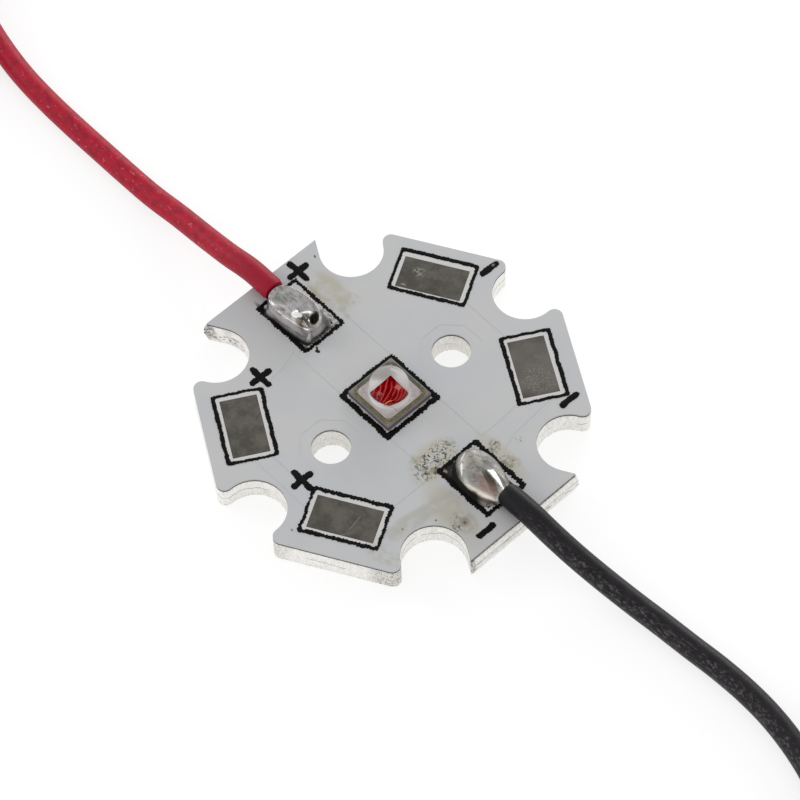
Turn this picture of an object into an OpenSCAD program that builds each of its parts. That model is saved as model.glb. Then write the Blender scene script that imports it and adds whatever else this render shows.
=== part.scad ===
// Star board with one light emitter: a metal-core board with six screw notches,
// six solder pads and two soldered leads, each with its spare length coiled.
// Origin: centre of the underside. X runs along the leads, Y through the two holes.

/* [Board outline] */
// Distance across the routed flats
board_w = 20; // [19:0.5:26]
// How far each break edge stands outside the routed flats
break_step = 0.1; // [0:0.05:0.4]
// Thickness of the finished board
board_t = 1.6; // [1.4:0.1:3.2]
// Half width of the screw notches, and the radius of their round ends
notch_r = 1.75; // [1.4:0.05:1.9]
// How far the centres of the round ends lie inside the routed flats
notch_inset = 0.3; // [0.1:0.05:0.5]
// Rounding of the routed corners
corner_r = 0.45; // [0.3:0.05:0.9]
// Diameter of the two through holes
hole_d = 2.1; // [1.6:0.1:2.6]
// How far the through holes lie inward of the middle between the feeds and the strips
hole_inset = 0.05; // [0:0.05:0.3]
// How far routing and drilling stand off the copper, towards the negative side
rout_shift = 0.15; // [0:0.05:0.2]

/* [Break edges] */
// Depth of the score line on each face
score_depth = 0.6; // [0.4:0.05:0.65]
// Lean of the score line's wall from the vertical
score_angle = 15; // [10:1:30]

/* [Layers] */
// Thickness of the insulating layer on the metal
insulation_t = 0.1; // [0.05:0.01:0.15]
// Thickness of the copper
copper_t = 0.07; // [0.035:0.005:0.1]
// Thickness of the white lacquer on the copper
lacquer_t = 0.03; // [0.02:0.005:0.05]
// How far the lacquer sinks where it has no copper under it
lacquer_sink = 0.01; // [0.005:0.005:0.05]
// Width of the lacquer that covers the side of a copper edge
lacquer_skirt = 0.08; // [0.04:0.01:0.1]
// Thickness of the tin on the pads
tin_t = 0.02; // [0.01:0.005:0.03]
// Thickness of the printed frames
ink_t = 0.02; // [0.01:0.005:0.04]

/* [Copper] */
// Gap between two copper areas
copper_gap = 0.25; // [0.2:0.05:0.35]
// Copper that stays around a pad
copper_rim = 0.2; // [0.1:0.05:0.3]
// Width of the tracks that feed the emitter
feed_w = 3.3; // [2.8:0.1:3.6]
// Width of the links beside the middle area
link_w = 0.85; // [0.6:0.05:1]
// Width of the links past the notches
strip_w = 0.6; // [0.4:0.05:0.7]
// Copper kept away from a notch
notch_margin = 0.3; // [0.2:0.05:0.4]
// Copper kept away from a through hole
hole_margin = 0.65; // [0.5:0.05:0.8]

/* [Pads] */
// Length of a spare pad, along its edge of the board
spare_pad_l = 3.6; // [3:0.1:3.8]
// Width of a spare pad, towards the middle of the board
spare_pad_w = 2; // [1.6:0.1:2.2]
// Distance from a spare pad to its edge of the board
spare_pad_margin = 1.24; // [1.1:0.02:1.4]
// Length of a lead pad, towards the middle of the board
lead_pad_l = 3.05; // [2.6:0.05:3.2]
// Width of a lead pad
lead_pad_w = 1.95; // [1.7:0.05:2.1]
// Distance from a lead pad to its break edge
lead_pad_margin = 1.6; // [1.4:0.05:1.8]
// Distance from a pad to its printed frame
frame_gap = 0.19; // [0.1:0.01:0.24]
// Line width of the printed frames
frame_line = 0.22; // [0.15:0.01:0.3]

/* [Emitter] */
// Width of the emitter's square ceramic base
led_w = 3.1; // [2.9:0.05:3.4]
// Thickness of the ceramic base
led_base_t = 0.35; // [0.25:0.05:0.6]
// Thickness of the solder under the base
led_joint_t = 0.08; // [0.05:0.01:0.12]
// Length of the three solder joints under the base
led_joint_l = 2.7; // [2.4:0.1:2.8]
// Width of the two outer joints
led_land_w = 0.5; // [0.4:0.05:0.6]
// Width of the middle joint, which carries the heat
led_heat_w = 1.2; // [1:0.05:1.3]
// Distance from the base to its printed frame
led_frame_gap = 0.1; // [0.06:0.01:0.14]
// Line width of the emitter's printed frame
led_frame_line = 0.28; // [0.2:0.01:0.34]
// Width of the plated square on the base
plating_w = 2.5; // [2.3:0.05:2.7]
// Thickness of the plating
plating_t = 0.03; // [0.02:0.01:0.05]
// Rounding of the plating's corners
plating_r = 0.3; // [0.1:0.05:0.4]
// Gap between the two halves of the plating
plating_gap = 0.05; // [0.03:0.01:0.16]
// Width of the square chip
chip_w = 0.9; // [0.7:0.05:1]
// Thickness of the chip
chip_t = 0.12; // [0.08:0.01:0.2]
// Radius of the bond wire's loop
loop_r = 0.24; // [0.22:0.02:0.5]
// Diameter of the bond wire
bond_d = 0.03; // [0.02:0.01:0.06]
// Radius of the clear dome
lens_r = 1.07; // [1:0.01:1.15]
// Height of the dome's centre over the ceramic base
lens_lift = 0.65; // [0.4:0.05:0.8]
// Width of the lens's square skirt
skirt_w = 2.86; // [2.7:0.02:2.88]
// Thickness of the lens's skirt
skirt_t = 0.08; // [0.06:0.01:0.12]

/* [Solder joints] */
// How far the rim of the red lead's joint rises over the bare wire
red_cover = 0.08; // [0.06:0.02:0.4]
// How far the rim of the red lead's joint leans over the side of its pad
red_lean = 0.2; // [0:0.05:0.3]
// How far the top of the black lead's joint rises over the bare wire
black_cover = 0.5; // [0.2:0.05:0.8]
// Narrowing of the black lead's joint towards the lead
black_taper = 0.4; // [0.1:0.05:0.5]
// How far the top of the black lead's joint lies off the middle of its pad
black_lean = 0.2; // [0:0.05:0.3]
// Thickness of the solder that wets the bare wire
wetting_t = 0.1; // [0.06:0.02:0.2]

/* [Leads] */
// Outer diameter of a lead
lead_d = 1.3; // [1.1:0.05:1.4]
// Diameter of a lead's bare wire
core_d = 0.55; // [0.4:0.05:0.7]
// Length of bare wire inside a solder joint
core_in = 2.4; // [1.6:0.1:2.8]
// Length of the stripped end
strip_l = 5; // [3:0.5:8]
// Width of the red lead's coil, at the middle of its turns
red_coil_d = 14; // [13:0.2:15.6]
// Width of the black lead's coil, at the middle of its turns
black_coil_d = 14.8; // [13:0.2:15.6]

/* [Hidden] */
$fn = 64;

// Room for cuts that pass right through
past = 1;
overlap = 0.01;

// Outline
apothem = board_w / 2;
break_x = apothem + break_step;
notch_centre = apothem - notch_inset;
flat_step = 60;
lean = flat_step / 2;
notch_angles = [30 : flat_step : 330];
score_run = score_depth * tan(score_angle);

// Heights of the layers
base_t = board_t - insulation_t - copper_t - lacquer_t;
copper_z = base_t + insulation_t;
copper_top = copper_z + copper_t;

// Pads
spare_pad_r = apothem - spare_pad_margin - spare_pad_w / 2;
lead_pad_x = break_x - lead_pad_margin - lead_pad_l / 2;
lead_pad_in = lead_pad_x - lead_pad_l / 2;
plus_spares = [240, 300];
minus_spares = [60, 120];

// Copper
heat_x = lead_pad_in - copper_rim - copper_gap;
strip_y = notch_centre - notch_r - notch_margin - strip_w / 2;
heat_y = strip_y - strip_w / 2 - copper_gap;
hole_y = (feed_w / 2 + copper_gap + heat_y) / 2 - hole_inset;
link_x = heat_x + copper_gap + link_w / 2;
link_knee = 3;
link_start = 0.6;
feed_end = led_heat_w / 2 + copper_gap;

// Emitter
led_z = copper_top + led_joint_t;
led_top = led_z + led_base_t;
land_x = feed_end + led_land_w / 2;
chip_z = led_top + plating_t;
split_y = -chip_w / 2 - plating_gap;
// The loop stands on the smaller half of the plating and comes down on the chip
loop_end = 180 - asin(chip_t / loop_r);
loop_in = 0.13;
loop_x = chip_w / 2 - loop_in;
loop_foot = 0.07;
loop_y = split_y - plating_gap / 2 - loop_foot + loop_r;

// Leads and solder joints
lead_clearance = 0.05;
lead_z = board_t + lead_clearance + lead_d / 2;
mound_z = copper_top + tin_t;
wire_top = lead_z + core_d / 2 - mound_z;
red_mound_h = wire_top + red_cover;
black_mound_h = wire_top + black_cover;
wetting_in = 0.5;
mound_points = 28;
mound_power = 2.8;
// Each pair gives the share of the pad's outline and the share of the height
red_mound_form = [
    [0.99, 0], [1, 0.05], [1.04, 0.35], [1.05, 0.6], [1.02, 0.85],
    [0.95, 1], [0.8, 0.98], [0.55, 0.96], [0.25, 0.955]
];
black_mound_form = [
    [0.99, 0], [1, 0.04], [1.06, 0.3], [1.07, 0.52], [1, 0.72],
    [0.84, 0.87], [0.62, 0.96], [0.3, 1]
];

// Routes of the leads, from the solder joint to the coil
red_exit = [-8.8, -0.2];
red_route = [
    [-8.8, -0.2, 2.3], [-10.6, -0.2, 2.3], [-12.4, -0.25, 1.95], [-14.4, -0.2, 1.5],
    [-16.6, -0.15, 1.1], [-18.8, -0.2, 0.8], [-21, -0.2, 0.68], [-23.2, -0.2, 0.66],
    [-25.4, -0.2, 0.66], [-27.6, -0.15, 0.66], [-29.8, 0, 0.66], [-31.8, 0.3, 0.66],
    [-33.8, 0.75, 0.66], [-35.8, 1.35, 0.66], [-37.7, 2.15, 0.66]
];
red_coil_at = [-41.5, -4.5];
red_coil_end = -69;
black_exit = [8.75, 0.05];
black_route = [
    [8.75, 0.05, 2.3], [10.5, 0.08, 2.3], [12.1, 0.17, 1.95], [13.7, 0.35, 1.5],
    [15.5, 0.6, 1.08], [17.4, 0.85, 0.8], [19.2, 1.05, 0.7], [21, 1.2, 0.66],
    [22.8, 1.35, 0.66], [24.6, 1.4, 0.66], [26.4, 1.3, 0.66], [28.2, 1, 0.66],
    [30, 0.5, 0.66], [31.8, -0.25, 0.66], [33.5, -1.05, 0.66]
];
black_coil_at = [37.5, 6];
black_coil_end = 98;
lead_sides = 8;
// Run of the insulated end beside the coil, and the heights of the stripped end
tail_l = 2.5;
tail_high = 1.6;
tail_low = 0.35;

function unit(v) = v / norm(v);
function signed_power(v, p) = sign(v) * pow(abs(v), p);
function on_circle(r, a) = [r * cos(a), r * sin(a)];
function is_routed(flat) = abs(cos(flat)) < 0.9;
// The middle of a spare pad's short side: end is 1 on the side of the larger angles, -1 on the other
function spare_side(angle, end) =
    on_circle(spare_pad_r, angle) + end * on_circle(spare_pad_l / 2, angle + 90);

// Board outline

// The plate before its notches; reach moves the two break edges outwards
module blank(reach) {
    intersection() {
        square([2 * (break_x + reach), 2 * board_w], center = true);
        translate([rout_shift, 0]) intersection() {
            rotate(flat_step) square([board_w, 2 * board_w], center = true);
            rotate(-flat_step) square([board_w, 2 * board_w], center = true);
        }
    }
}

// One notch, drawn pointing along Y
module notch() {
    translate([0, notch_centre]) {
        circle(notch_r);
        translate([-notch_r, 0]) square([2 * notch_r, board_w]);
    }
}

// The centre of the rounding of the corner to the right of a notch that points along Y.
// It touches the notch's straight wall, or its round end where that wall is too short
function corner_centre() =
    let (
        reach = notch_r + corner_r,
        turn = acos((notch_centre * cos(lean) - apothem + corner_r) / reach) - lean
    )
    turn < 90 ? [reach * sin(turn), notch_centre - reach * cos(turn)]
    : [reach, (apothem - corner_r - reach * sin(lean)) / cos(lean)];

// What that rounding removes
module corner_waste() {
    normal = [sin(lean), cos(lean)];
    centre = corner_centre();
    corner_y = (apothem - notch_r * sin(lean)) / cos(lean);
    difference() {
        polygon([
            [0, max(centre[1], notch_centre)],
            centre,
            centre + (corner_r + overlap) * normal,
            [notch_r, corner_y] + past * normal,
            [0, corner_y + past]
        ]);
        translate(centre) circle(corner_r);
    }
}

module outline(reach = 0) {
    difference() {
        blank(reach);
        for (a = notch_angles) {
            translate([rout_shift, 0]) rotate(a - 90) {
                notch();
                if (is_routed(a - lean)) corner_waste();
                if (is_routed(a + lean)) mirror([1, 0]) corner_waste();
            }
        }
    }
}

module through_holes() {
    for (side = [-1, 1]) {
        translate([rout_shift, side * hole_y, -past]) cylinder(d = hole_d, h = board_t + 2 * past);
    }
}

// Wedges that the score lines leave cut away along the two break edges
module score_waste() {
    outer = break_x + score_run + past;
    for (turn = [0, 180]) {
        rotate(turn) rotate([90, 0, 0]) linear_extrude(board_w, center = true) {
            polygon([
                [break_x, 0],
                [break_x + score_run, score_depth],
                [outer, score_depth],
                [outer, -past],
                [break_x, -past]
            ]);
            polygon([
                [break_x, board_t],
                [break_x + score_run, board_t - score_depth],
                [outer, board_t - score_depth],
                [outer, board_t + past],
                [break_x, board_t + past]
            ]);
        }
    }
}

module base_plate() {
    color("silver")
        difference() {
            linear_extrude(base_t) outline(score_run);
            score_waste();
            through_holes();
        }
}

module insulation_layer() {
    color("dimgray")
        difference() {
            translate([0, 0, base_t]) linear_extrude(insulation_t) outline();
            through_holes();
        }
}

// Copper, each area drawn larger by grow on every side

module centred(l, w, grow = 0) {
    square([l + 2 * grow, w + 2 * grow], center = true);
}

// A straight track with round ends between two points
module track(from, to, w) {
    run = to - from;
    translate(from) {
        circle(d = w);
        rotate(atan2(run[1], run[0])) translate([0, -w / 2]) square([norm(run), w]);
        translate(run) circle(d = w);
    }
}

module at_spare(angle) {
    rotate(angle) translate([spare_pad_r, 0]) children();
}

// The positive side, on the left and at the front; the negative side is the same, turned by 180
module supply_shape(grow = 0) {
    rim = copper_rim + grow;
    from = [-lead_pad_x + link_start, -lead_pad_w / 2];
    knee = [-link_x, -link_knee];
    strip_reach = -spare_side(plus_spares[0], 1)[0];
    translate([-lead_pad_x, 0]) centred(lead_pad_l, lead_pad_w, rim);
    translate([-lead_pad_x, -feed_w / 2 - grow]) square([lead_pad_x - feed_end + grow, feed_w + 2 * grow]);
    for (angle = plus_spares) at_spare(angle) centred(spare_pad_w, spare_pad_l, rim);
    track(from, knee, link_w + 2 * grow);
    track(knee, spare_side(plus_spares[0], -1), link_w + 2 * grow);
    track([-strip_reach, -strip_y], [strip_reach, -strip_y], strip_w + 2 * grow);
}

module heat_shape(grow = 0) {
    away = copper_gap - grow;
    difference() {
        centred(2 * heat_x, 2 * heat_y, grow);
        for (turn = [0, 180]) rotate(turn) supply_shape(away);
        for (side = [-1, 1]) {
            translate([rout_shift, side * hole_y]) octagon(hole_d / 2 + hole_margin - grow);
        }
    }
}

// Half the distance across its flats gives an octagon's size
module octagon(half) {
    intersection() {
        square(2 * half, center = true);
        rotate(45) square(2 * half, center = true);
    }
}

module copper_layer() {
    translate([0, 0, copper_z]) linear_extrude(copper_t) children();
}

module copper_plus() {
    color("peru") copper_layer() supply_shape();
}

module copper_minus() {
    color("peru") copper_layer() rotate(180) supply_shape();
}

module copper_heat() {
    color("peru") copper_layer() heat_shape();
}

// Lacquer, pads and print

module led_lands() {
    for (side = [-1, 1]) {
        translate([side * land_x, 0]) centred(led_land_w, led_joint_l);
    }
    centred(led_heat_w, led_joint_l);
}

module pad_windows() {
    for (side = [-1, 1]) {
        translate([side * lead_pad_x, 0]) centred(lead_pad_l, lead_pad_w);
    }
    for (angle = concat(plus_spares, minus_spares)) {
        at_spare(angle) centred(spare_pad_w, spare_pad_l);
    }
    led_lands();
}

module all_copper(grow = 0) {
    supply_shape(grow);
    rotate(180) supply_shape(grow);
    heat_shape(grow);
}

module white_lacquer() {
    color("whitesmoke")
        difference() {
            translate([0, 0, copper_z]) {
                linear_extrude(copper_t + lacquer_t - lacquer_sink) outline();
                linear_extrude(copper_t + lacquer_t) intersection() {
                    outline();
                    all_copper(lacquer_skirt);
                }
            }
            copper_layer() all_copper();
            translate([0, 0, copper_top]) linear_extrude(lacquer_t + past) pad_windows();
            through_holes();
        }
}

module tin() {
    color("gray") translate([0, 0, copper_top]) linear_extrude(tin_t) children();
}

module lead_pad(side) {
    tin() translate([side * lead_pad_x, 0]) centred(lead_pad_l, lead_pad_w);
}

module spare_pad(angle) {
    tin() at_spare(angle) centred(spare_pad_w, spare_pad_l);
}

// A printed line around a rectangle, at a given distance from it
module printed_line(l, w, gap, line) {
    difference() {
        centred(l, w, gap + line);
        centred(l, w, gap);
    }
}

module pad_frame(l, w) {
    printed_line(l, w, frame_gap, frame_line);
}

module printed_frames() {
    color("black")
        translate([0, 0, board_t]) linear_extrude(ink_t) {
            for (side = [-1, 1]) {
                translate([side * lead_pad_x, 0]) pad_frame(lead_pad_l, lead_pad_w);
            }
            for (angle = concat(plus_spares, minus_spares)) {
                at_spare(angle) pad_frame(spare_pad_w, spare_pad_l);
            }
            printed_line(led_w, led_w, led_frame_gap, led_frame_line);
        }
}

// Emitter

module led_joint(x, w) {
    color("lightgray")
        translate([x, 0, copper_top]) linear_extrude(led_joint_t) centred(w, led_joint_l);
}

module led_base() {
    color("darkgray")
        translate([0, 0, led_z]) linear_extrude(led_base_t) centred(led_w, led_w);
}

module rounded_square(w, r) {
    centred(w - 2 * r, w);
    centred(w, w - 2 * r);
    for (turn = [0 : 90 : 270]) {
        rotate(turn) translate([w / 2 - r, w / 2 - r]) circle(r);
    }
}

// The plating is split in two: the chip's half and the bond wire's half
module led_plating() {
    color("lavenderblush")
        translate([0, 0, led_top]) linear_extrude(plating_t) difference() {
            rounded_square(plating_w, plating_r);
            translate([-led_w / 2, split_y - plating_gap / 2]) square([led_w, plating_gap]);
        }
}

module led_chip() {
    color("firebrick")
        translate([0, 0, chip_z]) linear_extrude(chip_t) centred(chip_w, chip_w);
}

module led_bond_wire() {
    color("gold")
        translate([loop_x, loop_y, chip_z])
            rotate([90, 0, -90]) rotate_extrude(angle = loop_end) translate([loop_r, 0]) circle(d = bond_d);
}

module led_lens() {
    color("aliceblue", 0.5)
        difference() {
            translate([0, 0, led_top]) {
                linear_extrude(skirt_t) centred(skirt_w, skirt_w);
                rotate_extrude() intersection() {
                    square([lens_r, lens_lift + lens_r]);
                    union() {
                        square([lens_r, lens_lift]);
                        translate([0, lens_lift]) circle(lens_r);
                    }
                }
            }
            led_plating();
            led_chip();
            led_bond_wire();
        }
}

// Solder joints

// One ring of a mound: a rounded rectangle that narrows towards +X by the share taper
function mound_ring(share, z, taper, shift) = [
    for (i = [0 : mound_points - 1])
        let (
            a = 360 * i / mound_points,
            x = signed_power(cos(a), 2 / mound_power),
            y = signed_power(sin(a), 2 / mound_power) * (1 - taper * (1 + x) / 2)
        )
        [lead_pad_l / 2 * share * x, lead_pad_w / 2 * share * y + shift, z]
];

// A mound of solder over a pad, closed by one point in the middle of its top; its top leans along Y
module mound(form, height, taper, top_shift) {
    rings = len(form);
    last = (rings - 1) * mound_points;
    points = concat(
        [for (pair = form) each mound_ring(pair[0], pair[1] * height, taper, pair[1] * top_shift)],
        [[0, top_shift, form[rings - 1][1] * height]]
    );
    bottom = [for (i = [0 : mound_points - 1]) i];
    sides = [
        for (r = [0 : rings - 2], i = [0 : mound_points - 1])
            let (j = (i + 1) % mound_points, low = r * mound_points, high = low + mound_points)
            each [[low + i, high + i, high + j], [low + i, high + j, low + j]]
    ];
    top = [
        for (i = [0 : mound_points - 1])
            [last + i, last + mound_points, last + (i + 1) % mound_points]
    ];
    polyhedron(points, concat([bottom], sides, top));
}

// Solder that wets the bare wire as far as the end of the insulation, drawn along +X
module wetting(from_x, to_x) {
    translate([from_x, 0, lead_z])
        rotate([0, 90, 0]) cylinder(d = core_d + 2 * wetting_t, h = to_x - from_x);
}

// The joint on the +X side; the other one is turned by 180
module solder_joint(form, height, exit, taper = 0, top_shift = 0) {
    offset_y = exit[1] * sign(exit[0]);
    difference() {
        union() {
            translate([lead_pad_x, 0, mound_z]) mound(form, height, taper, top_shift);
            translate([0, offset_y, 0]) wetting(lead_pad_x + lead_pad_l / 2 - wetting_in, abs(exit[0]));
        }
        translate([0, offset_y, 0]) core(abs(exit[0]));
    }
}

// Bare wire from the insulation's end into the joint on the +X side
module core(exit_x) {
    translate([exit_x - core_in, 0, lead_z]) rotate([0, 90, 0]) cylinder(d = core_d, h = core_in);
}

module solder_mound_red() {
    color("lightgray") rotate(180) solder_joint(red_mound_form, red_mound_h, red_exit, top_shift = red_lean);
}

module solder_mound_black() {
    color("lightgray")
        solder_joint(black_mound_form, black_mound_h, black_exit, black_taper, -black_lean);
}

module red_core() {
    color("silver") translate([0, red_exit[1], 0]) rotate(180) core(-red_exit[0]);
}

module black_core() {
    color("silver") translate([0, black_exit[1], 0]) core(black_exit[0]);
}

// Leads

// The direction of a route at one of its points
function heading(route, i) =
    i == 0 ? [sign(route[0][0]), 0, 0]
    : unit(route[min(i + 1, len(route) - 1)] - route[i - 1]);

function route_ring(route, i) =
    let (
        ahead = heading(route, i),
        side = unit(cross([0, 0, 1], ahead)),
        up = cross(ahead, side)
    )
    [
        for (k = [0 : lead_sides - 1])
            let (a = 360 * (k + 0.5) / lead_sides)
            route[i] + lead_d / 2 * (cos(a) * side + sin(a) * up)
    ];

module lead(route) {
    rings = len(route);
    points = [for (i = [0 : rings - 1]) each route_ring(route, i)];
    start = [for (k = [0 : lead_sides - 1]) k];
    end = [for (k = [lead_sides - 1 : -1 : 0]) (rings - 1) * lead_sides + k];
    walls = [
        for (i = [0 : rings - 2], k = [0 : lead_sides - 1])
            let (j = (k + 1) % lead_sides, near = i * lead_sides, far = near + lead_sides)
            each [[near + k, far + k, far + j], [near + k, far + j, near + j]]
    ];
    polyhedron(points, concat([start], walls, [end]));
}

// A round coil, two turns wide and two high
module coil(at, d) {
    row = lead_d / 2;
    translate(at) rotate_extrude() translate([d / 2, lead_d]) {
        square(lead_d, center = true);
        for (x = [-row, row], y = [-row, row]) translate([x, y]) circle(row);
    }
}

// The stripped end comes off the coil's outer turn and slopes down beside it
module stripped_end(at, d, angle) {
    outer_turn = (d + lead_d) / 2;
    fall = asin((tail_high - tail_low) / strip_l);
    translate(at) rotate(angle) translate([outer_turn, tail_l, tail_high])
        rotate([-90 - fall, 0, 0]) cylinder(d = core_d, h = strip_l);
}

module red_lead() {
    color("crimson") lead(red_route);
}

module red_coil() {
    color("crimson") coil(red_coil_at, red_coil_d);
}

module red_stripped_end() {
    color("silver") stripped_end(red_coil_at, red_coil_d, red_coil_end);
}

module black_lead() {
    color("dimgray") lead(black_route);
}

module black_coil() {
    color("dimgray") coil(black_coil_at, black_coil_d);
}

module black_stripped_end() {
    color("silver") stripped_end(black_coil_at, black_coil_d, black_coil_end);
}

base_plate();
insulation_layer();
copper_plus();
copper_minus();
copper_heat();
white_lacquer();
printed_frames();
lead_pad(-1);  // lead_pad_plus
lead_pad(1);  // lead_pad_minus
spare_pad(plus_spares[0]);  // spare_pad_plus_left
spare_pad(plus_spares[1]);  // spare_pad_plus_front
spare_pad(minus_spares[0]);  // spare_pad_minus_right
spare_pad(minus_spares[1]);  // spare_pad_minus_back
led_joint(-land_x, led_land_w);  // led_joint_plus
led_joint(land_x, led_land_w);  // led_joint_minus
led_joint(0, led_heat_w);  // led_joint_heat
led_base();
led_plating();
led_chip();
led_bond_wire();
led_lens();
solder_mound_red();
solder_mound_black();
red_core();
red_lead();
red_coil();
red_stripped_end();
black_core();
black_lead();
black_coil();
black_stripped_end();
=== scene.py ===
import math

import bmesh
import bpy
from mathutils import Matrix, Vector, noise
from mathutils.geometry import tessellate_polygon


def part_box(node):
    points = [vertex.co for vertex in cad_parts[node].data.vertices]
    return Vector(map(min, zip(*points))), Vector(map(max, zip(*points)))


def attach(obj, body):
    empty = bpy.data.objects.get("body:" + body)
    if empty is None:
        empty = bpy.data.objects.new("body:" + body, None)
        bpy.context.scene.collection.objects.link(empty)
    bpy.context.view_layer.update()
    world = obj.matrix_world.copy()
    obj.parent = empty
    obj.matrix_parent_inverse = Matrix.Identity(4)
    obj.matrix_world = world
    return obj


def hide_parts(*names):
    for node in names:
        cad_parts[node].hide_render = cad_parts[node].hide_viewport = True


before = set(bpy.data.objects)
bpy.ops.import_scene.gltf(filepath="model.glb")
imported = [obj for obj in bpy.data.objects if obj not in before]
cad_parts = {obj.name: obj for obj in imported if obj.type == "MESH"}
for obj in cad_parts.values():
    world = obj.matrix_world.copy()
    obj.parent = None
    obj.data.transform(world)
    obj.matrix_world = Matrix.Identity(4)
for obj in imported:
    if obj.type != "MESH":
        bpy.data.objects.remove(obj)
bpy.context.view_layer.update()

mm = 0.001  # every size below is in millimetres; meshes are written in metres
root = "root"


# Shader building

def tone(red, green, blue):
    # A colour as seen on a screen, 0 to 255, turned into linear light
    def linear(value):
        share = value / 255
        return share / 12.92 if share <= 0.04045 else ((share + 0.055) / 1.055) ** 2.4
    return (linear(red), linear(green), linear(blue), 1.0)


class Socket:
    def __init__(self, graph, link):
        self.graph = graph
        self.link = link

    def math(self, operation, *values):
        return self.graph.add("ShaderNodeMath", {"operation": operation}, dict(enumerate(values)))

    def __add__(self, other):
        return self.math("ADD", self, other)

    def __radd__(self, other):
        return self.math("ADD", other, self)

    def __sub__(self, other):
        return self.math("SUBTRACT", self, other)

    def __rsub__(self, other):
        return self.math("SUBTRACT", other, self)

    def __mul__(self, other):
        return self.math("MULTIPLY", self, other)

    def __rmul__(self, other):
        return self.math("MULTIPLY", other, self)

    def __truediv__(self, other):
        return self.math("DIVIDE", self, other)

    def __pow__(self, other):
        return self.math("POWER", self, other)

    def __abs__(self):
        return self.math("ABSOLUTE", self)

    def fraction(self):
        return self.math("FRACT", self)

    def atMost(self, other):
        return self.math("MINIMUM", self, other)

    def atLeast(self, other):
        return self.math("MAXIMUM", self, other)


class Graph:
    # A node tree and the few moves that it is built with
    here = None

    def __init__(self, tree):
        self.tree = tree

    def find(self, sockets, key):
        if isinstance(key, int):
            return sockets[key]
        return next(s for s in sockets if key in (s.identifier, s.name))

    def add(self, kind, settings=None, values=None, output=0):
        node = self.tree.nodes.new(kind)
        for name, value in (settings or {}).items():
            setattr(node, name, value)
        for key, value in (values or {}).items():
            socket = self.find(node.inputs, key)
            if isinstance(value, Socket):
                self.tree.links.new(value.link, socket)
            else:
                socket.default_value = value
        return Socket(self, self.find(node.outputs, output))

    def scaled(self, vector, factor):
        return self.add("ShaderNodeVectorMath", {"operation": "SCALE"}, {0: vector, "Scale": factor})

    def stretched(self, vector, factors):
        return self.add("ShaderNodeVectorMath", {"operation": "MULTIPLY"}, {0: vector, 1: factors})

    def turned(self, vector, angle):
        return self.add("ShaderNodeVectorRotate", {"rotation_type": "Z_AXIS"},
                        {"Vector": vector, "Angle": math.radians(angle)})

    def axes(self, vector=None):
        source = self.add("ShaderNodeSeparateXYZ", values={0: vector or self.here})
        node = source.link.node
        return [Socket(self, node.outputs[i]) for i in range(3)]

    def noise(self, size, detail=2.0, roughness=0.5, at=None, distortion=0.0):
        return self.add("ShaderNodeTexNoise", None, {
            "Vector": at or self.here, "Scale": 1 / size, "Detail": detail,
            "Roughness": roughness, "Distortion": distortion})

    def cracks(self, size):
        # The distance to the nearest edge of a random cell
        return self.add("ShaderNodeTexVoronoi", {"feature": "DISTANCE_TO_EDGE"},
                        {"Vector": self.here, "Scale": 1 / size}, "Distance")

    def between(self, value, low, high):
        # 0 at low, 1 at high, eased in between; low may be the larger one
        return self.add("ShaderNodeMapRange", {"interpolation_type": "SMOOTHSTEP"},
                        {"Value": value, "From Min": low, "From Max": high})

    def mix(self, factor, first, second):
        return self.add("ShaderNodeMix", {"data_type": "RGBA"},
                        {"Factor_Float": factor, "A_Color": first, "B_Color": second}, "Result_Color")

    def bump(self, height, distance, strength=1.0, under=None):
        values = {"Height": height, "Distance": distance * mm, "Strength": strength}
        if under:
            values["Normal"] = under
        return self.add("ShaderNodeBump", None, values)

    def oval(self, x, y, at, size, turn=0.0, soft=0.5):
        # A soft patch: 1 inside the oval, 0 outside
        across, along = math.cos(math.radians(turn)), math.sin(math.radians(turn))
        dx, dy = x - at[0], y - at[1]
        u = (dx * across + dy * along) / size[0]
        v = (dy * across - dx * along) / size[1]
        return self.between(u * u + v * v, 1 + soft, max(0.0, 1 - soft))

    def slab(self, x, y, at, half, turn=0.0, soft=0.04):
        # 1 inside the rectangle, 0 outside
        across, along = math.cos(math.radians(turn)), math.sin(math.radians(turn))
        dx, dy = x - at[0], y - at[1]
        u = abs(dx * across + dy * along) - half[0]
        v = abs(dy * across - dx * along) - half[1]
        return self.between(u.atLeast(v), soft, -soft)


class Finish(Graph):
    # A material, read in millimetres
    def __init__(self, name):
        self.material = bpy.data.materials.new(name)
        self.material.use_nodes = True
        super().__init__(self.material.node_tree)
        self.shader = self.tree.nodes["Principled BSDF"]
        self.here = self.scaled(self.add("ShaderNodeTexCoord", output="Object"), 1 / mm)

    def done(self, **values):
        names = {"colour": "Base Color", "metal": "Metallic", "rough": "Roughness", "normal": "Normal",
                 "clear": "Transmission Weight", "ior": "IOR", "shine": "Specular IOR Level",
                 "tint": "Specular Tint", "glow": "Emission Color", "glowPower": "Emission Strength"}
        for name, value in values.items():
            socket = self.shader.inputs[names[name]]
            if isinstance(value, Socket):
                self.tree.links.new(value.link, socket)
            else:
                socket.default_value = value
        return self.material


# Mesh building

def newMesh(name, points, faces, smoothAngle=35):
    mesh = bpy.data.meshes.new(name)
    mesh.from_pydata([Vector(p) * mm for p in points], [], faces)
    shell = bmesh.new()
    shell.from_mesh(mesh)
    bmesh.ops.recalc_face_normals(shell, faces=shell.faces)
    shell.to_mesh(mesh)
    shell.free()
    mesh.shade_smooth()
    mesh.set_sharp_from_angle(angle=math.radians(smoothAngle))
    return mesh


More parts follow.
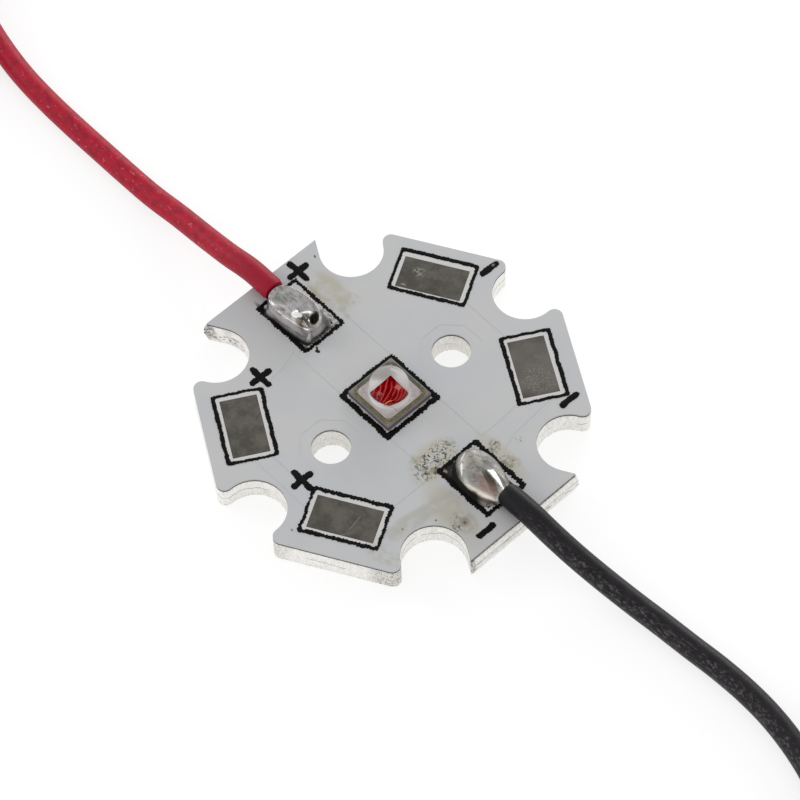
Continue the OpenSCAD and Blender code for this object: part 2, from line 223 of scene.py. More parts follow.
def addPiece(name, mesh, finish, replaced=()):
    piece = bpy.data.objects.new(name, mesh)
    bpy.context.scene.collection.objects.link(piece)
    mesh.materials.clear()
    mesh.materials.append(finish)
    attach(piece, root)
    if replaced:
        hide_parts(*replaced)
    return piece


def paintNode(node, finish):
    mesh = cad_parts[node].data
    mesh.materials.clear()
    mesh.materials.append(finish)


def boxOf(node):
    low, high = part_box(node)
    return Vector(low) / mm, Vector(high) / mm


def boxCentre(node):
    low, high = boxOf(node)
    return (low + high) / 2


def bridge(rings, count, closed=True):
    # Quads between rings of the same number of points, numbered one ring after another
    faces = []
    last = count if closed else count - 1
    for r in range(rings - 1):
        for i in range(last):
            j = (i + 1) % count
            faces.append((r * count + i, r * count + j, (r + 1) * count + j, (r + 1) * count + i))
    return faces


def flatLoops(node, height):
    # The outlines of a node's level faces at one height, each a closed list of points
    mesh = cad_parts[node].data
    edges = set()
    for face in mesh.polygons:
        corners = [mesh.vertices[n].co / mm for n in face.vertices]
        if all(abs(c.z - height) < 0.002 for c in corners):
            places = [(round(c.x, 3), round(c.y, 3)) for c in corners]
            edges.update(zip(places, places[1:] + places[:1]))
    follow = {start: end for start, end in edges if (end, start) not in edges}
    loops = []
    while follow:
        start = min(follow)
        loop = [start]
        while follow[loop[-1]] != start:
            loop.append(follow.pop(loop[-1]))
        follow.pop(loop[-1])
        loops.append([Vector(p) for p in loop])
    return loops


def densify(loop, step, like=None):
    # Where a second loop is given, each side has as many points as that loop's side would have
    dense = []
    like = like or loop
    for i, start in enumerate(loop):
        j = (i + 1) % len(loop)
        parts = max(1, round((like[j] - like[i]).length / step))
        dense += [start.lerp(loop[j], k / parts) for k in range(parts)]
    return dense


def outward(loop):
    # To the right of the way round: out of a shape drawn anticlockwise, into a hole drawn clockwise
    ways = []
    for i in range(len(loop)):
        run = loop[(i + 1) % len(loop)] - loop[i - 1]
        ways.append(Vector((run.y, -run.x)).normalized())
    return ways


def rounded(loop, radius, parts=5):
    # Each corner becomes a short curve
    smooth = []
    for i, corner in enumerate(loop):
        start = corner + (loop[i - 1] - corner).normalized() * radius
        end = corner + (loop[(i + 1) % len(loop)] - corner).normalized() * radius
        for k in range(parts + 1):
            t = k / parts
            smooth.append(start.lerp(corner, t).lerp(corner.lerp(end, t), t))
    return smooth


def insetAt(p, way, level):
    # Where a point of an outline goes on a level that has a height and an inset
    height, inset = level
    p = p - way * inset
    return (p.x, p.y, height)


def sliced(outlines, levels, place):
    # A closed skin through the same outlines at every level; place says where a point goes
    points, faces, low, high = [], [], [], []
    for outline in outlines:
        first, count = len(points), len(outline)
        ways = outward(outline)
        for level in levels:
            points += [place(p, way, level) for p, way in zip(outline, ways)]
        faces += [tuple(first + n for n in face) for face in bridge(len(levels), count)]
        low += range(first, first + count)
        high += range(len(points) - count, len(points))
    for ends in (low, high):
        loops, done = [], 0
        for outline in outlines:
            loops.append([points[n] for n in ends[done:done + len(outline)]])
            done += len(outline)
        faces += [tuple(ends[n] for n in face) for face in tessellate_polygon(loops)]
    return points, faces


def tube(path, radii, sides):
    # A round skin along a path, with the frame carried along so that it doesn't twist
    points, around = [], []
    ahead = [(path[min(i + 1, len(path) - 1)] - path[max(i - 1, 0)]).normalized() for i in range(len(path))]
    side = ahead[0].cross(Vector((0, 0, 1))).normalized()
    run = 0.0
    for i, centre in enumerate(path):
        if i:
            side = ahead[i - 1].rotation_difference(ahead[i]) @ side
            run += (path[i] - path[i - 1]).length
        up = side.cross(ahead[i]).normalized()
        for k in range(sides):
            a = 2 * math.pi * k / sides
            points.append(centre + radii[i] * (math.cos(a) * side + math.sin(a) * up))
            around.append((math.cos(a), math.sin(a), run))
    faces = bridge(len(path), sides)
    faces.append(tuple(range(sides - 1, -1, -1)))
    faces.append(tuple(range((len(path) - 1) * sides, len(path) * sides)))
    return points, faces, around


def smoothPath(knots, step):
    # A Catmull-Rom line through the knots, with about one point each step
    path = []
    for i in range(len(knots) - 1):
        before = knots[max(i - 1, 0)] if i else 2 * knots[0] - knots[1]
        start, end = knots[i], knots[i + 1]
        after = knots[i + 2] if i + 2 < len(knots) else 2 * knots[-1] - knots[-2]
        parts = max(2, round((end - start).length / step))
        for k in range(parts):
            t = k / parts
            path.append(0.5 * (2 * start + (end - before) * t
                               + (2 * before - 5 * start + 4 * end - after) * t * t
                               + (3 * start - before - 3 * end + after) * t ** 3))
    return path


# Leads

leadShape = {"diameter": 1.3, "sides": 28, "step": 0.22, "coilStep": 2.5, "lip": 0.22, "lipRadius": 0.9,
             "tailLength": 2.5, "tailSteps": 10, "tailHigh": 1.6, "tailLow": 0.35,
             "stripLength": 5.0, "stripSteps": 40, "coreLength": 2.4, "coreDip": 0.42, "coreSteps": 24,
             "coreDiameter": 0.55, "strandLay": 7.0, "strandSides": 10}
leads = {
    "red": {
        "route": [
            (-8.8, -0.2, 2.3), (-10.6, -0.2, 2.3), (-12.4, -0.25, 1.95), (-14.4, -0.2, 1.5),
            (-16.6, -0.15, 1.1), (-18.8, -0.2, 0.8), (-21, -0.2, 0.68), (-23.2, -0.2, 0.66),
            (-25.4, -0.2, 0.66), (-27.6, -0.15, 0.66), (-29.8, 0, 0.66), (-31.8, 0.3, 0.66),
            (-33.8, 0.75, 0.66), (-35.8, 1.35, 0.66), (-37.7, 2.15, 0.66)],
        "coilAt": (-41.5, -4.5), "coilRadius": 7.0, "entry": 60, "end": 291, "tapeAt": 128,
        "length": 0.2},
    "black": {
        "route": [
            (8.75, 0.05, 2.3), (10.5, 0.08, 2.3), (12.1, 0.17, 1.95), (13.7, 0.35, 1.5),
            (15.5, 0.6, 1.08), (17.4, 0.85, 0.8), (19.2, 1.05, 0.7), (21, 1.2, 0.66),
            (22.8, 1.35, 0.66), (24.6, 1.4, 0.66), (26.4, 1.3, 0.66), (28.2, 1, 0.66),
            (30, 0.5, 0.66), (31.8, -0.25, 0.66), (33.5, -1.05, 0.66)],
        "coilAt": (37.5, 6.0), "coilRadius": 7.4, "entry": -120, "end": 98, "tapeAt": -34,
        "length": 0.2},
}
coilShape = {"turns": 3, "change": 60}  # change is the angle over which a turn moves to its next place
tapeShape = {"width": 2.4, "thick": 0.09, "gap": 0.015, "turns": 1.17, "lowest": 0.21, "corner": 0.62,
             "step": 0.12, "parts": 8}


def coilPoint(lead, angle):
    # The winding goes outer low, inner low, inner high, outer high, one place a turn
    turned = angle - lead["entry"]
    turn = min(int(turned // 360), coilShape["turns"])
    late = turned - 360 * turn - (360 - coilShape["change"])
    share = min(max(late / coilShape["change"], 0.0), 1.0) if turn < coilShape["turns"] else 0.0
    share = share * share * (3 - 2 * share)
    half = leadShape["diameter"] / 2
    apart = half * math.sqrt(2)
    place = math.radians(-45 - 90 * (turn + share))
    rise = half + apart * math.cos(math.radians(45 - 90 * share))
    reach = lead["coilRadius"] + apart * math.cos(place)
    a = math.radians(angle)
    return Vector((lead["coilAt"][0] + reach * math.cos(a), lead["coilAt"][1] + reach * math.sin(a),
                   rise + apart * math.sin(place)))


def leadPath(lead):
    path = smoothPath([Vector(p) for p in lead["route"]], leadShape["step"])
    last = 360 * coilShape["turns"] + lead["end"]
    count = round((last - lead["entry"]) / leadShape["coilStep"])
    for i in range(count + 1):
        path.append(coilPoint(lead, lead["entry"] + (last - lead["entry"]) * i / count))
    ahead = tangentAtEnd(lead)
    start = path[-1]
    for i in range(1, leadShape["tailSteps"] + 1):
        share = i / leadShape["tailSteps"]
        point = start + ahead * leadShape["tailLength"] * share
        point.z = start.z + (leadShape["tailHigh"] - start.z) * share * share
        path.append(point)
    return path


def tangentAtEnd(lead):
    a = math.radians(lead["end"])
    return Vector((-math.sin(a), math.cos(a), 0))


def leadMesh(name, path):
    radius = leadShape["diameter"] / 2
    run = [0.0]
    for i in range(1, len(path)):
        run.append(run[-1] + (path[i] - path[i - 1]).length)
    radii = [radius * lipShape(s) * lipShape(run[-1] - s) for s in run]
    points, faces, around = tube(path, radii, leadShape["sides"])
    mesh = newMesh(name, points, faces)
    layer = mesh.attributes.new("sleeve", "FLOAT_VECTOR", "POINT")
    for item, (x, y, s) in zip(layer.data, around):
        item.vector = (x * radius, y * radius, s)
    return mesh


def lipShape(distance):
    # The cut end of the sleeve is slightly rounded
    share = min(distance / leadShape["lip"], 1.0)
    return leadShape["lipRadius"] + (1 - leadShape["lipRadius"]) * math.sqrt(1 - (1 - share) ** 2)


def strandedWire(name, path, finish, replaced):
    # Six tinned strands laid round a seventh
    strand = leadShape["coreDiameter"] / 6
    points, faces = [], []
    sideways = (path[-1] - path[0]).cross(Vector((0, 0, 1))).normalized()
    for k in range(7):
        strandPath = []
        run = 0.0
        for i, centre in enumerate(path):
            ahead = (path[min(i + 1, len(path) - 1)] - path[max(i - 1, 0)]).normalized()
            if i:
                run += (centre - path[i - 1]).length
            a = 2 * math.pi * (k / 6 + run / leadShape["strandLay"])
            out = 0.0 if k == 6 else strand * 2
            up = sideways.cross(ahead)
            strandPath.append(centre + out * (math.cos(a) * sideways + math.sin(a) * up))
        radii = [strand * (1.0 if 0 < i < len(path) - 1 else 0.8) for i in range(len(path))]
        more, skin, _ = tube(strandPath, radii, leadShape["strandSides"])
        first = len(points)
        points += more
        faces += [tuple(first + n for n in face) for face in skin]
    return addPiece(name, newMesh(name, points, faces, 50), finish, replaced)


def tapeMesh(name, lead):
    # A strip that goes once round the winding and a little way over its own start
    size = leadShape["diameter"]
    low, high = tapeShape["lowest"], 2 * size
    corners = [Vector(p) for p in ((size, high), (-size, high), (-size, low), (size, low))]
    loop = densify(rounded(corners, tapeShape["corner"]), tapeShape["step"])
    ways = outward(loop)
    across = [tapeShape["width"] * (k / tapeShape["parts"] - 0.5) for k in range(tapeShape["parts"] + 1)]
    count = round(len(loop) * tapeShape["turns"])
    points = []
    for k in range(count):
        p, way = loop[k % len(loop)], ways[k % len(loop)]
        inner = tapeShape["gap"] + (tapeShape["thick"] + tapeShape["gap"]) * k / len(loop)
        for off, row in ((inner, across), (inner + tapeShape["thick"], across[::-1])):
            out = lead["coilRadius"] + p.x + way.x * off
            for side in row:
                a = math.radians(lead["tapeAt"]) + side / lead["coilRadius"]
                points.append((lead["coilAt"][0] + out * math.cos(a), lead["coilAt"][1] + out * math.sin(a),
                               p.y + way.y * off))
    ring = 2 * len(across)
    faces = bridge(count, ring)
    faces += [tuple(range(ring)), tuple(range((count - 1) * ring, count * ring))]
    return newMesh(name, points, faces, 50)


def sleeveFinish(name, look):
    # Pale scuffs gather on the side that faces low Y; the far-side share says how much the far side has of
    # them
    # On the black cord the pale marks on that side are also a painted reflection
    f = Finish(name)
    along = f.add("ShaderNodeAttribute", {"attribute_name": "sleeve"}, output="Vector")
    near = f.axes(along)[0] * look["nearSide"]
    cloud = f.noise(0.5, 3, 0.6, along)
    fine = f.noise(0.14, 3, 0.6, along)
    turned = f.stretched(f.turned(along, look["slant"]), (1, 1, 0.55))
    scuffAndSheen = f.between(f.noise(look["size"], 5, 0.75, turned), look["from"], look["from"] + 0.12)
    scuffAndSheen = scuffAndSheen * (f.between(near, 0.0, 0.35) * (1 - look["farSideShare"]) + look["farSideShare"])
    scuffAndSheen = scuffAndSheen * f.between(f.axes(along)[2], 0.5, 4.5)
    colour = f.mix(f.between(cloud, 0.35, 0.7), look["base"], look["dark"])
    # Darker over the first millimetres from the joint, gone by 5 mm
    colour = f.mix(f.between(f.axes(along)[2], 5.0, 1.0) * look["darkerNearJoint"], colour, look["dark"])
    colour = f.mix(scuffAndSheen * look["share"], colour, look["pale"])
    height = fine * 0.4 + scuffAndSheen * 0.6 + cloud * 0.5
    return f.done(colour=colour, rough=look["rough"] + fine * 0.18, shine=look["shine"],
                  normal=f.bump(height, 0.04, 0.5))


print("leads")
wireFinish = Finish("tinnedWire")
wireStreaks = wireFinish.noise(0.12, 3, 0.6)
tinnedWire = wireFinish.done(
    colour=wireFinish.mix(wireStreaks, tone(176, 174, 170), tone(214, 212, 208)), metal=1.0,
    rough=0.22 + wireStreaks * 0.2, normal=wireFinish.bump(wireStreaks, 0.01, 0.4))
redSleeve = sleeveFinish("redSleeve", {
    "base": tone(169, 3, 40), "pale": tone(226, 106, 126), "dark": tone(142, 2, 34), "rough": 0.4,
    "shine": 0.25, "nearSide": -1, "slant": 20, "size": 0.19, "from": 0.57, "share": 0.75, "farSideShare": 0.8,
    "darkerNearJoint": 0.6})
# Its pale marks on the low-Y side are scuffs and a painted reflection
blackSleeve = sleeveFinish("blackSleeve", {
    "base": tone(26, 22, 26), "pale": tone(104, 101, 102), "dark": tone(13, 9, 14), "rough": 0.34,
    "shine": 0.24, "nearSide": 1, "slant": -25, "size": 0.15, "from": 0.5, "share": 0.58, "farSideShare": 0.06,
    "darkerNearJoint": 0.9})

tapeFinish = Finish("blackTape")
tapeGrain = tapeFinish.noise(0.25, 4, 0.65)
blackTape = tapeFinish.done(
    colour=tapeFinish.mix(tapeGrain, tone(20, 20, 22), tone(44, 44, 46)), shine=0.35,
    rough=0.28 + tapeGrain * 0.25, normal=tapeFinish.bump(tapeGrain, 0.03, 0.5))

for colourName, lead in leads.items():
    path = leadPath(lead)
    sleeve = redSleeve if colourName == "red" else blackSleeve
    cord = addPiece(colourName + "_sleeve", leadMesh(colourName + "_sleeve", path), sleeve,
                    [colourName + "_lead", colourName + "_coil"])
    tip = path[-1] + tangentAtEnd(lead) * leadShape["stripLength"]
    tip.z = leadShape["tailLow"]
    bare = [path[-1].lerp(tip, i / leadShape["stripSteps"]) for i in range(leadShape["stripSteps"] + 1)]
    end = strandedWire(colourName + "_strands", bare, tinnedWire, [colourName + "_stripped_end"])
    inwards = Vector((-math.copysign(leadShape["coreLength"], path[0].x), 0, 0))
    inside = []
    for i in range(leadShape["coreSteps"] + 1):
        share = i / leadShape["coreSteps"]
        dip = leadShape["coreDip"] * share * (2 - share)
        inside.append(path[0] + inwards * share - Vector((0, 0, dip)))
    core = strandedWire(colourName + "_inner_wire", inside, tinnedWire, [colourName + "_core"])
    tape = addPiece(colourName + "_tape", tapeMesh(colourName + "_tape", lead), blackTape)
    tuple(path[0] * mm)
    [tuple(p * mm) for p in path]


# Board metal: a routed plate, snapped out of its panel along two scored edges

print("board")
metalTop = boxOf("base_plate")[1].z
boardTop = boxOf("white_lacquer")[1].z
breakX = boxOf("insulation_layer")[1].x
ridgeRun = boxOf("base_plate")[1].x - breakX
# A snapped edge leans out as far as its ridge, rough where it tore and smooth where it was scored
plateShape = {"step": 0.13, "bevel": 0.035, "scoreDepth": 0.6, "tipSlope": math.tan(math.radians(30)),
              "torn": 0.075, "scored": 0.01,
              "heights": (0.0, 0.04, 0.3, 0.6, 0.68, 0.76, 0.84, 0.92, 1.0, 1.2)}

plateLook = {
    "bright": tone(252, 251, 248), "dull": tone(234, 231, 226), "clouded": tone(208, 203, 197),
    "speck": tone(146, 140, 126), "dirt": tone(204, 200, 188), "grit": tone(112, 106, 88),
    "meetLine": tone(138, 130, 120), "meetHeight": 0.72, "seam": tone(120, 113, 100), "seamHeight": 0.98,
    "torn": tone(200, 193, 187), "tears": tone(112, 98, 90), "tornAt": (-9.2, -3.45),
    "burr": tone(84, 77, 66), "tipAt": (breakX, -3.85),
    "underDeep": tone(186, 188, 190), "underPale": tone(214, 215, 216)}


def plateFinish():
    f = Finish("boardMetal")
    look = plateLook
    x, y, z = f.axes()
    cut = f.noise(0.1, 3, 0.6, f.stretched(f.here, (1, 1, 0.3)))
    cloud = f.noise(0.8, 3, 0.55, f.stretched(f.here, (1, 1, 0.6)))
    grains = f.noise(0.09, 4, 0.7)
    drawn = f.noise(0.07, 2, 0.5, f.stretched(f.here, (0.03, 1, 1)))
    under = f.between(z, 0.012, 0.004)
    dirt = f.oval(x, y, (7.7, -7.1), (1.1, 0.9), 0, 0.8)
    dirt = dirt.atLeast(f.oval(x, y, (1.8, -10.0), (1.0, 0.8), 0, 0.8) * 0.8)
    waved = z + (cloud - 0.5) * 0.3
    edge = f.between(waved, 0.24, 0.06).atLeast(f.between(waved, 1.2, 1.4))
    specks = f.between(grains, 0.5, 0.62)
    colour = f.mix(f.between(cut, 0.35, 0.75), look["bright"], look["dull"])
    colour = f.mix(f.between(cloud, 0.5, 0.72) * 0.25, colour, look["clouded"])
    colour = f.mix(specks * (edge * 0.45 + 0.12), colour, look["speck"])
    colour = f.mix(dirt * 0.25, colour, look["dirt"])
    colour = f.mix(dirt * f.between(f.noise(0.085, 3, 0.7), 0.48, 0.58) * 0.7, colour, look["grit"])
    # A line half way up, where the two cuts of the tool meet
    meet = f.between(abs(z - look["meetHeight"] + (cloud - 0.5) * 0.5), 0.05, 0.0)
    meet = meet * f.between(f.noise(1.4), 0.4, 0.52)
    colour = f.mix(meet * (f.between(x * x + y * y, 40, 60) * 0.5 + 0.25), colour, look["meetLine"])
    snapped = f.between(abs(x), breakX - 0.03, breakX - 0.01)
    seam = f.between(abs(z - look["seamHeight"] + (grains - 0.5) * 0.2), 0.06, 0.02) * snapped
    colour = f.mix(seam * 0.6, colour, look["seam"])
    torn = f.oval(x, y, look["tornAt"], (1.4, 1.0), 0, 0.6)
    colour = f.mix(torn * f.between(cloud, 0.35, 0.65) * 0.4, colour, look["torn"])
    tears = f.between(f.noise(0.2, 4, 0.7), 0.5, 0.6) * torn * f.between(abs(z - 0.5), 0.42, 0.1)
    colour = f.mix(tears * 0.8, colour, look["tears"])
    # Burrs that the tool left at the front tips
    burr = f.oval(abs(x), y, look["tipAt"], (0.42, 0.3), 0, 0.8)
    burr = burr * f.between(f.noise(0.12, 3, 0.7), 0.4, 0.56)
    colour = f.mix(burr * f.between(z, 0.1, 0.6) * 0.85, colour, look["burr"])
    colour = f.mix(under, colour, f.mix(drawn, look["underDeep"], look["underPale"]))
    height = (cut * 0.4 + grains * 0.3 + cloud * 0.5) * (1 - under) + drawn * under
    return f.done(colour=colour, metal=0.7 - under * 0.2, rough=0.46 + cloud * 0.2,
                  normal=f.bump(height, 0.03, 0.4))


def plateMesh():
    outlines = [densify(list(reversed(loop)), plateShape["step"]) for loop in flatLoops("base_plate", 0.0)]
    tipY = max(abs(p.y) for outline in outlines for p in outline if abs(abs(p.x) - breakX) < 0.005)

    def place(p, way, height):
        inset = plateShape["bevel"] if height == 0 else 0.0
        p = p - way * inset
        if abs(abs(p.x) - breakX) > 0.005 + inset:
            return (p.x, p.y, height)
        depth = min(height, boardTop - height)
        share = min(depth / plateShape["scoreDepth"], 1.0)
        rough = plateShape["torn"] if share == 1 else plateShape["scored"]
        run = ridgeRun * share + rough * noise.noise(Vector((p.y * 2.9, height * 5, p.x)))
        slide = 1 + plateShape["tipSlope"] * run / tipY
        return (p.x + math.copysign(run, p.x), p.y * slide, height)

    return newMesh("board_metal", *sliced(outlines, plateShape["heights"] + (metalTop,), place))


addPiece("board_metal", plateMesh(), plateFinish(), ["base_plate"])

insulationFinish = Finish("insulationResin")
resinCloud = insulationFinish.noise(0.3, 3, 0.6)
paintNode("insulation_layer", insulationFinish.done(
    colour=insulationFinish.mix(resinCloud, tone(34, 32, 26), tone(76, 72, 60)), rough=0.6,
    normal=insulationFinish.bump(resinCloud, 0.02, 0.4)))

copperFinish = Finish("copperFoil")
copperCloud = copperFinish.noise(0.4, 3, 0.6)
copper = copperFinish.done(
    colour=copperFinish.mix(copperCloud, tone(196, 122, 88), tone(168, 98, 70)), metal=1.0,
    rough=0.35 + copperCloud * 0.2, normal=copperFinish.bump(copperCloud, 0.01, 0.3))
for node in ("copper_plus", "copper_minus", "copper_heat"):
    paintNode(node, copper)


# White lacquer, with the flux that soldering left on it and painted shade along the feet of the joints

print("lacquer")
printShift = Vector((-0.03, 0.06))
padShapes = [
    {"at": boxCentre(node), "half": half, "turn": turn} for node, half, turn in (
        ("lead_pad_plus", (1.525, 0.975), 0), ("lead_pad_minus", (1.525, 0.975), 0),
        ("spare_pad_plus_left", (1.0, 1.8), 240), ("spare_pad_plus_front", (1.0, 1.8), 300),
        ("spare_pad_minus_right", (1.0, 1.8), 60), ("spare_pad_minus_back", (1.0, 1.8), 120),
        ("led_base", (1.55, 1.55), 0))]
lacquerLook = {"tone": tone(188, 188, 188), "cool": tone(183, 185, 188), "bare": tone(197, 196, 195),
               "bareRim": 0.24}
tan = tone(172, 167, 150)
olive = tone(132, 128, 98)
darkFlux = tone(52, 47, 36)
burntFluxAndShade = tone(16, 13, 10)
inkDrop = tone(22, 20, 18)
# Where it is, its half sizes, its turn, its colour and share, how soft its edge is, and the grain that
# breaks it up: clouded, mottled, or down to specks
stains = [
    ((-7.2, 2.2), (1.5, 0.8), 0, tan, 0.8, 0.65, "cloud"),
    ((-7.5, 1.8), (0.8, 0.35), 0, tone(160, 155, 128), 0.6, 0.65, "cloud"),
    ((-6.0, 2.6), (0.6, 0.45), 40, tone(164, 161, 148), 0.6, 0.65, "mottle"),
    ((-5.5, 1.9), (0.5, 0.3), 0, tone(150, 148, 134), 0.5, 0.65, "mottle"),
    ((-4.7, -0.83), (0.15, 0.1), 20, inkDrop, 1.0, 0.3, None),
    ((-4.86, -0.73), (0.14, 0.055), 150, inkDrop, 1.0, 0.3, None),
    ((-9.3, 3.15), (0.1, 0.05), -30, tone(60, 58, 54), 0.9, 0.3, None),
    ((6.7, 1.75), (1.8, 0.5), 0, tone(180, 177, 164), 0.7, 0.65, None),
    ((6.0, 1.85), (0.32, 0.42), 47, olive, 0.8, 0.65, "mottle"),
    ((7.25, 1.75), (0.56, 0.36), 47, olive, 0.85, 0.65, "mottle"),
    ((6.05, 1.8), (0.3, 0.4), 47, tone(84, 80, 60), 0.8, 0.65, "speck"),
    ((7.0, 1.8), (0.4, 0.3), 47, tone(96, 92, 70), 0.6, 0.65, "speck"),
    ((-5.9, 1.06), (0.85, 0.16), 0, tone(76, 72, 64), 0.9, 0.65, "mottle"),
    ((5.35, 0.4), (0.14, 0.8), 0, tone(60, 56, 48), 0.8, 0.65, "mottle"),
    # Along the near foot of the red joint: flux with painted shade
    ((-7.3, -1.15), (1.9, 0.2), 0, tone(30, 27, 22), 0.97, 0.4, None),
    ((-5.3, 0.1), (0.22, 1.25), 0, tone(44, 40, 32), 1.0, 0.65, "mottle"),
    ((-5.35, -0.2), (0.1, 1.2), 0, tone(66, 60, 52), 0.8, 0.65, None),
    # Flux with painted shade along the near foot
    ((-6.2, -1.2), (0.9, 0.12), 0, tone(44, 40, 34), 0.9, 0.65, "mottle"),
    ((4.5, -1.1), (1.0, 1.5), 10, tone(178, 173, 152), 0.8, 0.65, "cloud"),
    ((4.5, -1.0), (0.75, 1.4), 8, tone(34, 30, 22), 1.0, 0.65, "speck"),
    ((4.7, -1.3), (0.42, 0.55), 0, tone(92, 86, 64), 0.75, 0.65, "mottle"),
    ((4.25, -1.7), (0.8, 0.4), 0, olive, 0.5, 0.65, "mottle"),
    # Burnt flux with painted shade round the left and near foot of the black joint
    ((5.6, -0.7), (0.5, 0.65), 0, burntFluxAndShade, 1.0, 0.35, None),
    ((6.7, -1.15), (1.4, 0.22), 0, burntFluxAndShade, 1.0, 0.4, None),
    ((5.34, -1.06), (0.14, 0.1), 20, tone(138, 130, 110), 0.9, 0.7, None),
    ((7.6, -2.6), (2.2, 1.0), -8, tone(180, 177, 167), 0.65, 0.65, None),
    ((6.9, -2.4), (1.3, 0.7), -8, tan, 0.6, 0.65, "cloud"),
    ((8.2, -2.4), (0.8, 0.6), 0, tone(158, 152, 138), 0.7, 0.65, "mottle"),
    ((8.25, -2.4), (0.3, 0.27), 0, tone(124, 114, 98), 0.6, 0.9, None),
    ((8.28, -2.42), (0.1, 0.09), 0, tone(76, 66, 54), 0.7, 0.8, None),
    ((8.1, -2.85), (0.55, 0.3), 137, tone(74, 68, 52), 0.8, 0.65, "speck"),
    ((6.35, -4.4), (0.5, 2.5), -6, tone(166, 164, 155), 0.75, 0.65, "cloud"),
    ((7.2, -6.6), (1.2, 0.45), 28, tone(166, 163, 148), 0.6, 0.65, "mottle"),
    ((7.15, -3.4), (0.055, 0.05), 0, darkFlux, 0.9, 0.3, None),
    ((6.35, -5.0), (0.045, 0.045), 0, darkFlux, 0.9, 0.3, None),
    ((6.6, 3.05), (0.24, 0.2), 30, tone(104, 102, 90), 0.8, 0.65, "speck"),
    ((2.47, -9.14), (0.09, 0.07), 0, tone(110, 108, 100), 0.7, 0.4, None),
]


def lacquerFinish():
    f = Finish("whiteLacquer")
    x, y = f.axes()[:2]
    grains = {"cloud": f.between(f.noise(0.8, 2, 0.5), 0.25, 0.62),
              "mottle": f.between(f.noise(0.3, 4, 0.65), 0.38, 0.66),
              "speck": f.between(f.noise(0.14, 3, 0.7), 0.52, 0.59)}
    cloud = f.noise(2.6, 3, 0.5)
    colour = f.mix(f.between(cloud, 0.35, 0.7), lacquerLook["tone"], lacquerLook["cool"])
    rim = lacquerLook["bareRim"]
    for pad in padShapes:
        at = (pad["at"].x + printShift.x, pad["at"].y + printShift.y)
        ring = f.slab(x, y, at, (pad["half"][0] + rim, pad["half"][1] + rim), pad["turn"], 0.05)
        colour = f.mix(ring, colour, lacquerLook["bare"])
    for at, size, turn, stain, share, soft, grain in stains:
        spot = f.oval(x, y, at, size, turn, soft) * share
        if grain:
            spot = spot * grains[grain]
        colour = f.mix(spot, colour, stain)
    grit = f.noise(0.12, 3, 0.6)
    return f.done(colour=colour, rough=0.46 + cloud * 0.12, normal=f.bump(grit, 0.008, 0.25), shine=0.3)


paintNode("white_lacquer", lacquerFinish())


# Black print: ragged frames and the marks of the two sides

print("print")
inkShape = {"step": 0.025, "round": 0.15, "base": boardTop - 0.03, "edge": boardTop + 0.012,
            "top": boardTop + 0.018, "lip": 0.012, "stroke": 0.36, "tooth": 0.17, "drift": 0.34,
            "lump": 0.13, "swell": 0.42}
# The line is the width of the sides that cross the frame's own X, then of those that cross its own Y
frames = [
    {"at": (-7.01, 0.02), "half": (1.985, 1.43), "line": (0.21, 0.245), "turn": 0, "slip": (0.01, 0.05)},
    {"at": (6.94, 0.02), "half": (1.93, 1.43), "line": (0.22, 0.27), "turn": 0},
    {"at": (0.0, -0.01), "half": (1.92, 1.92), "line": (0.3, 0.315), "turn": 0, "saw": 0.075},
]
spareFrame = {"radius": 7.76, "half": (1.41, 2.183), "line": (0.225, 0.175), "frontSaw": 0.06,
              "shifts": {240: (-0.005, -0.018), 300: (-0.042, 0.01), 60: (0.037, 0.005), 120: (0.112, 0.0)}}
plusMarks = [{"at": (-9.21, 1.85), "arms": (1.6, 1.5)}, {"at": (-5.58, -4.1), "arms": (1.6, 1.46)},
             {"at": (0.62, -6.76), "arms": (1.6, 1.46)}]
minusMarks = [{"at": (9.38, -1.97), "length": 1.27}, {"at": (6.65, 6.67), "length": 1.32},
              {"at": (-2.25, 9.35), "length": 1.3}]
rough, wavy = {"saw": 0.08, "wave": 0.05}, {"saw": 0.035, "wave": 0.05}


def inkFinish():
    f = Finish("printInk")
    grain = f.noise(0.08, 3, 0.6)
    x, y = f.axes()[:2]
    worn = f.oval(x, y, (-2.26, 9.66), (0.07, 0.1), 0, 0.5)
    colour = f.mix(f.between(grain, 0.45, 0.8), tone(7, 6, 6), tone(24, 22, 21))
    colour = f.mix(worn * 0.8, colour, tone(120, 118, 116))
    return f.done(colour=colour, rough=0.6 + grain * 0.2, shine=0.1, normal=f.bump(grain, 0.012, 0.5))


def ragged(outline, look):
    # Print edges: small teeth, none like the next, with a slower wave under them
    moved = []
    run = 0.0
    for i, (p, way) in enumerate(zip(outline, outward(outline))):
        run += (p - outline[i - 1]).length if i else 0.0
        phase = run / inkShape["tooth"] + 0.6 * noise.noise(Vector((p.x, p.y, 0.1)) / inkShape["drift"])
        tooth = 0.26 * math.cos(2 * math.pi * phase)
        lump = noise.noise(Vector((p.x, p.y, 0.5)) / inkShape["lump"])
        swell = noise.noise(Vector((p.x, p.y, 0.7)) / inkShape["swell"])
        moved.append(p + way * (look["saw"] * (tooth + lump) + look["wave"] * swell))
    return moved


def rectangle(at, half, turn):
    a = math.radians(turn)
    across, along = Vector((math.cos(a), math.sin(a))), Vector((-math.sin(a), math.cos(a)))
    return [Vector(at) + across * half[0] * u + along * half[1] * v
            for u, v in ((-1, -1), (1, -1), (1, 1), (-1, 1))]


def spareFrames():
    made = []
    for turn, (u, v) in spareFrame["shifts"].items():
        a = math.radians(turn)
        far = spareFrame["radius"] + u
        at = (far * math.cos(a) - v * math.sin(a), far * math.sin(a) + v * math.cos(a))
        made.append({"at": at, "half": spareFrame["half"], "line": spareFrame["line"], "turn": turn,
                     "saw": spareFrame["frontSaw"] if turn == 300 else wavy["saw"]})
    return made


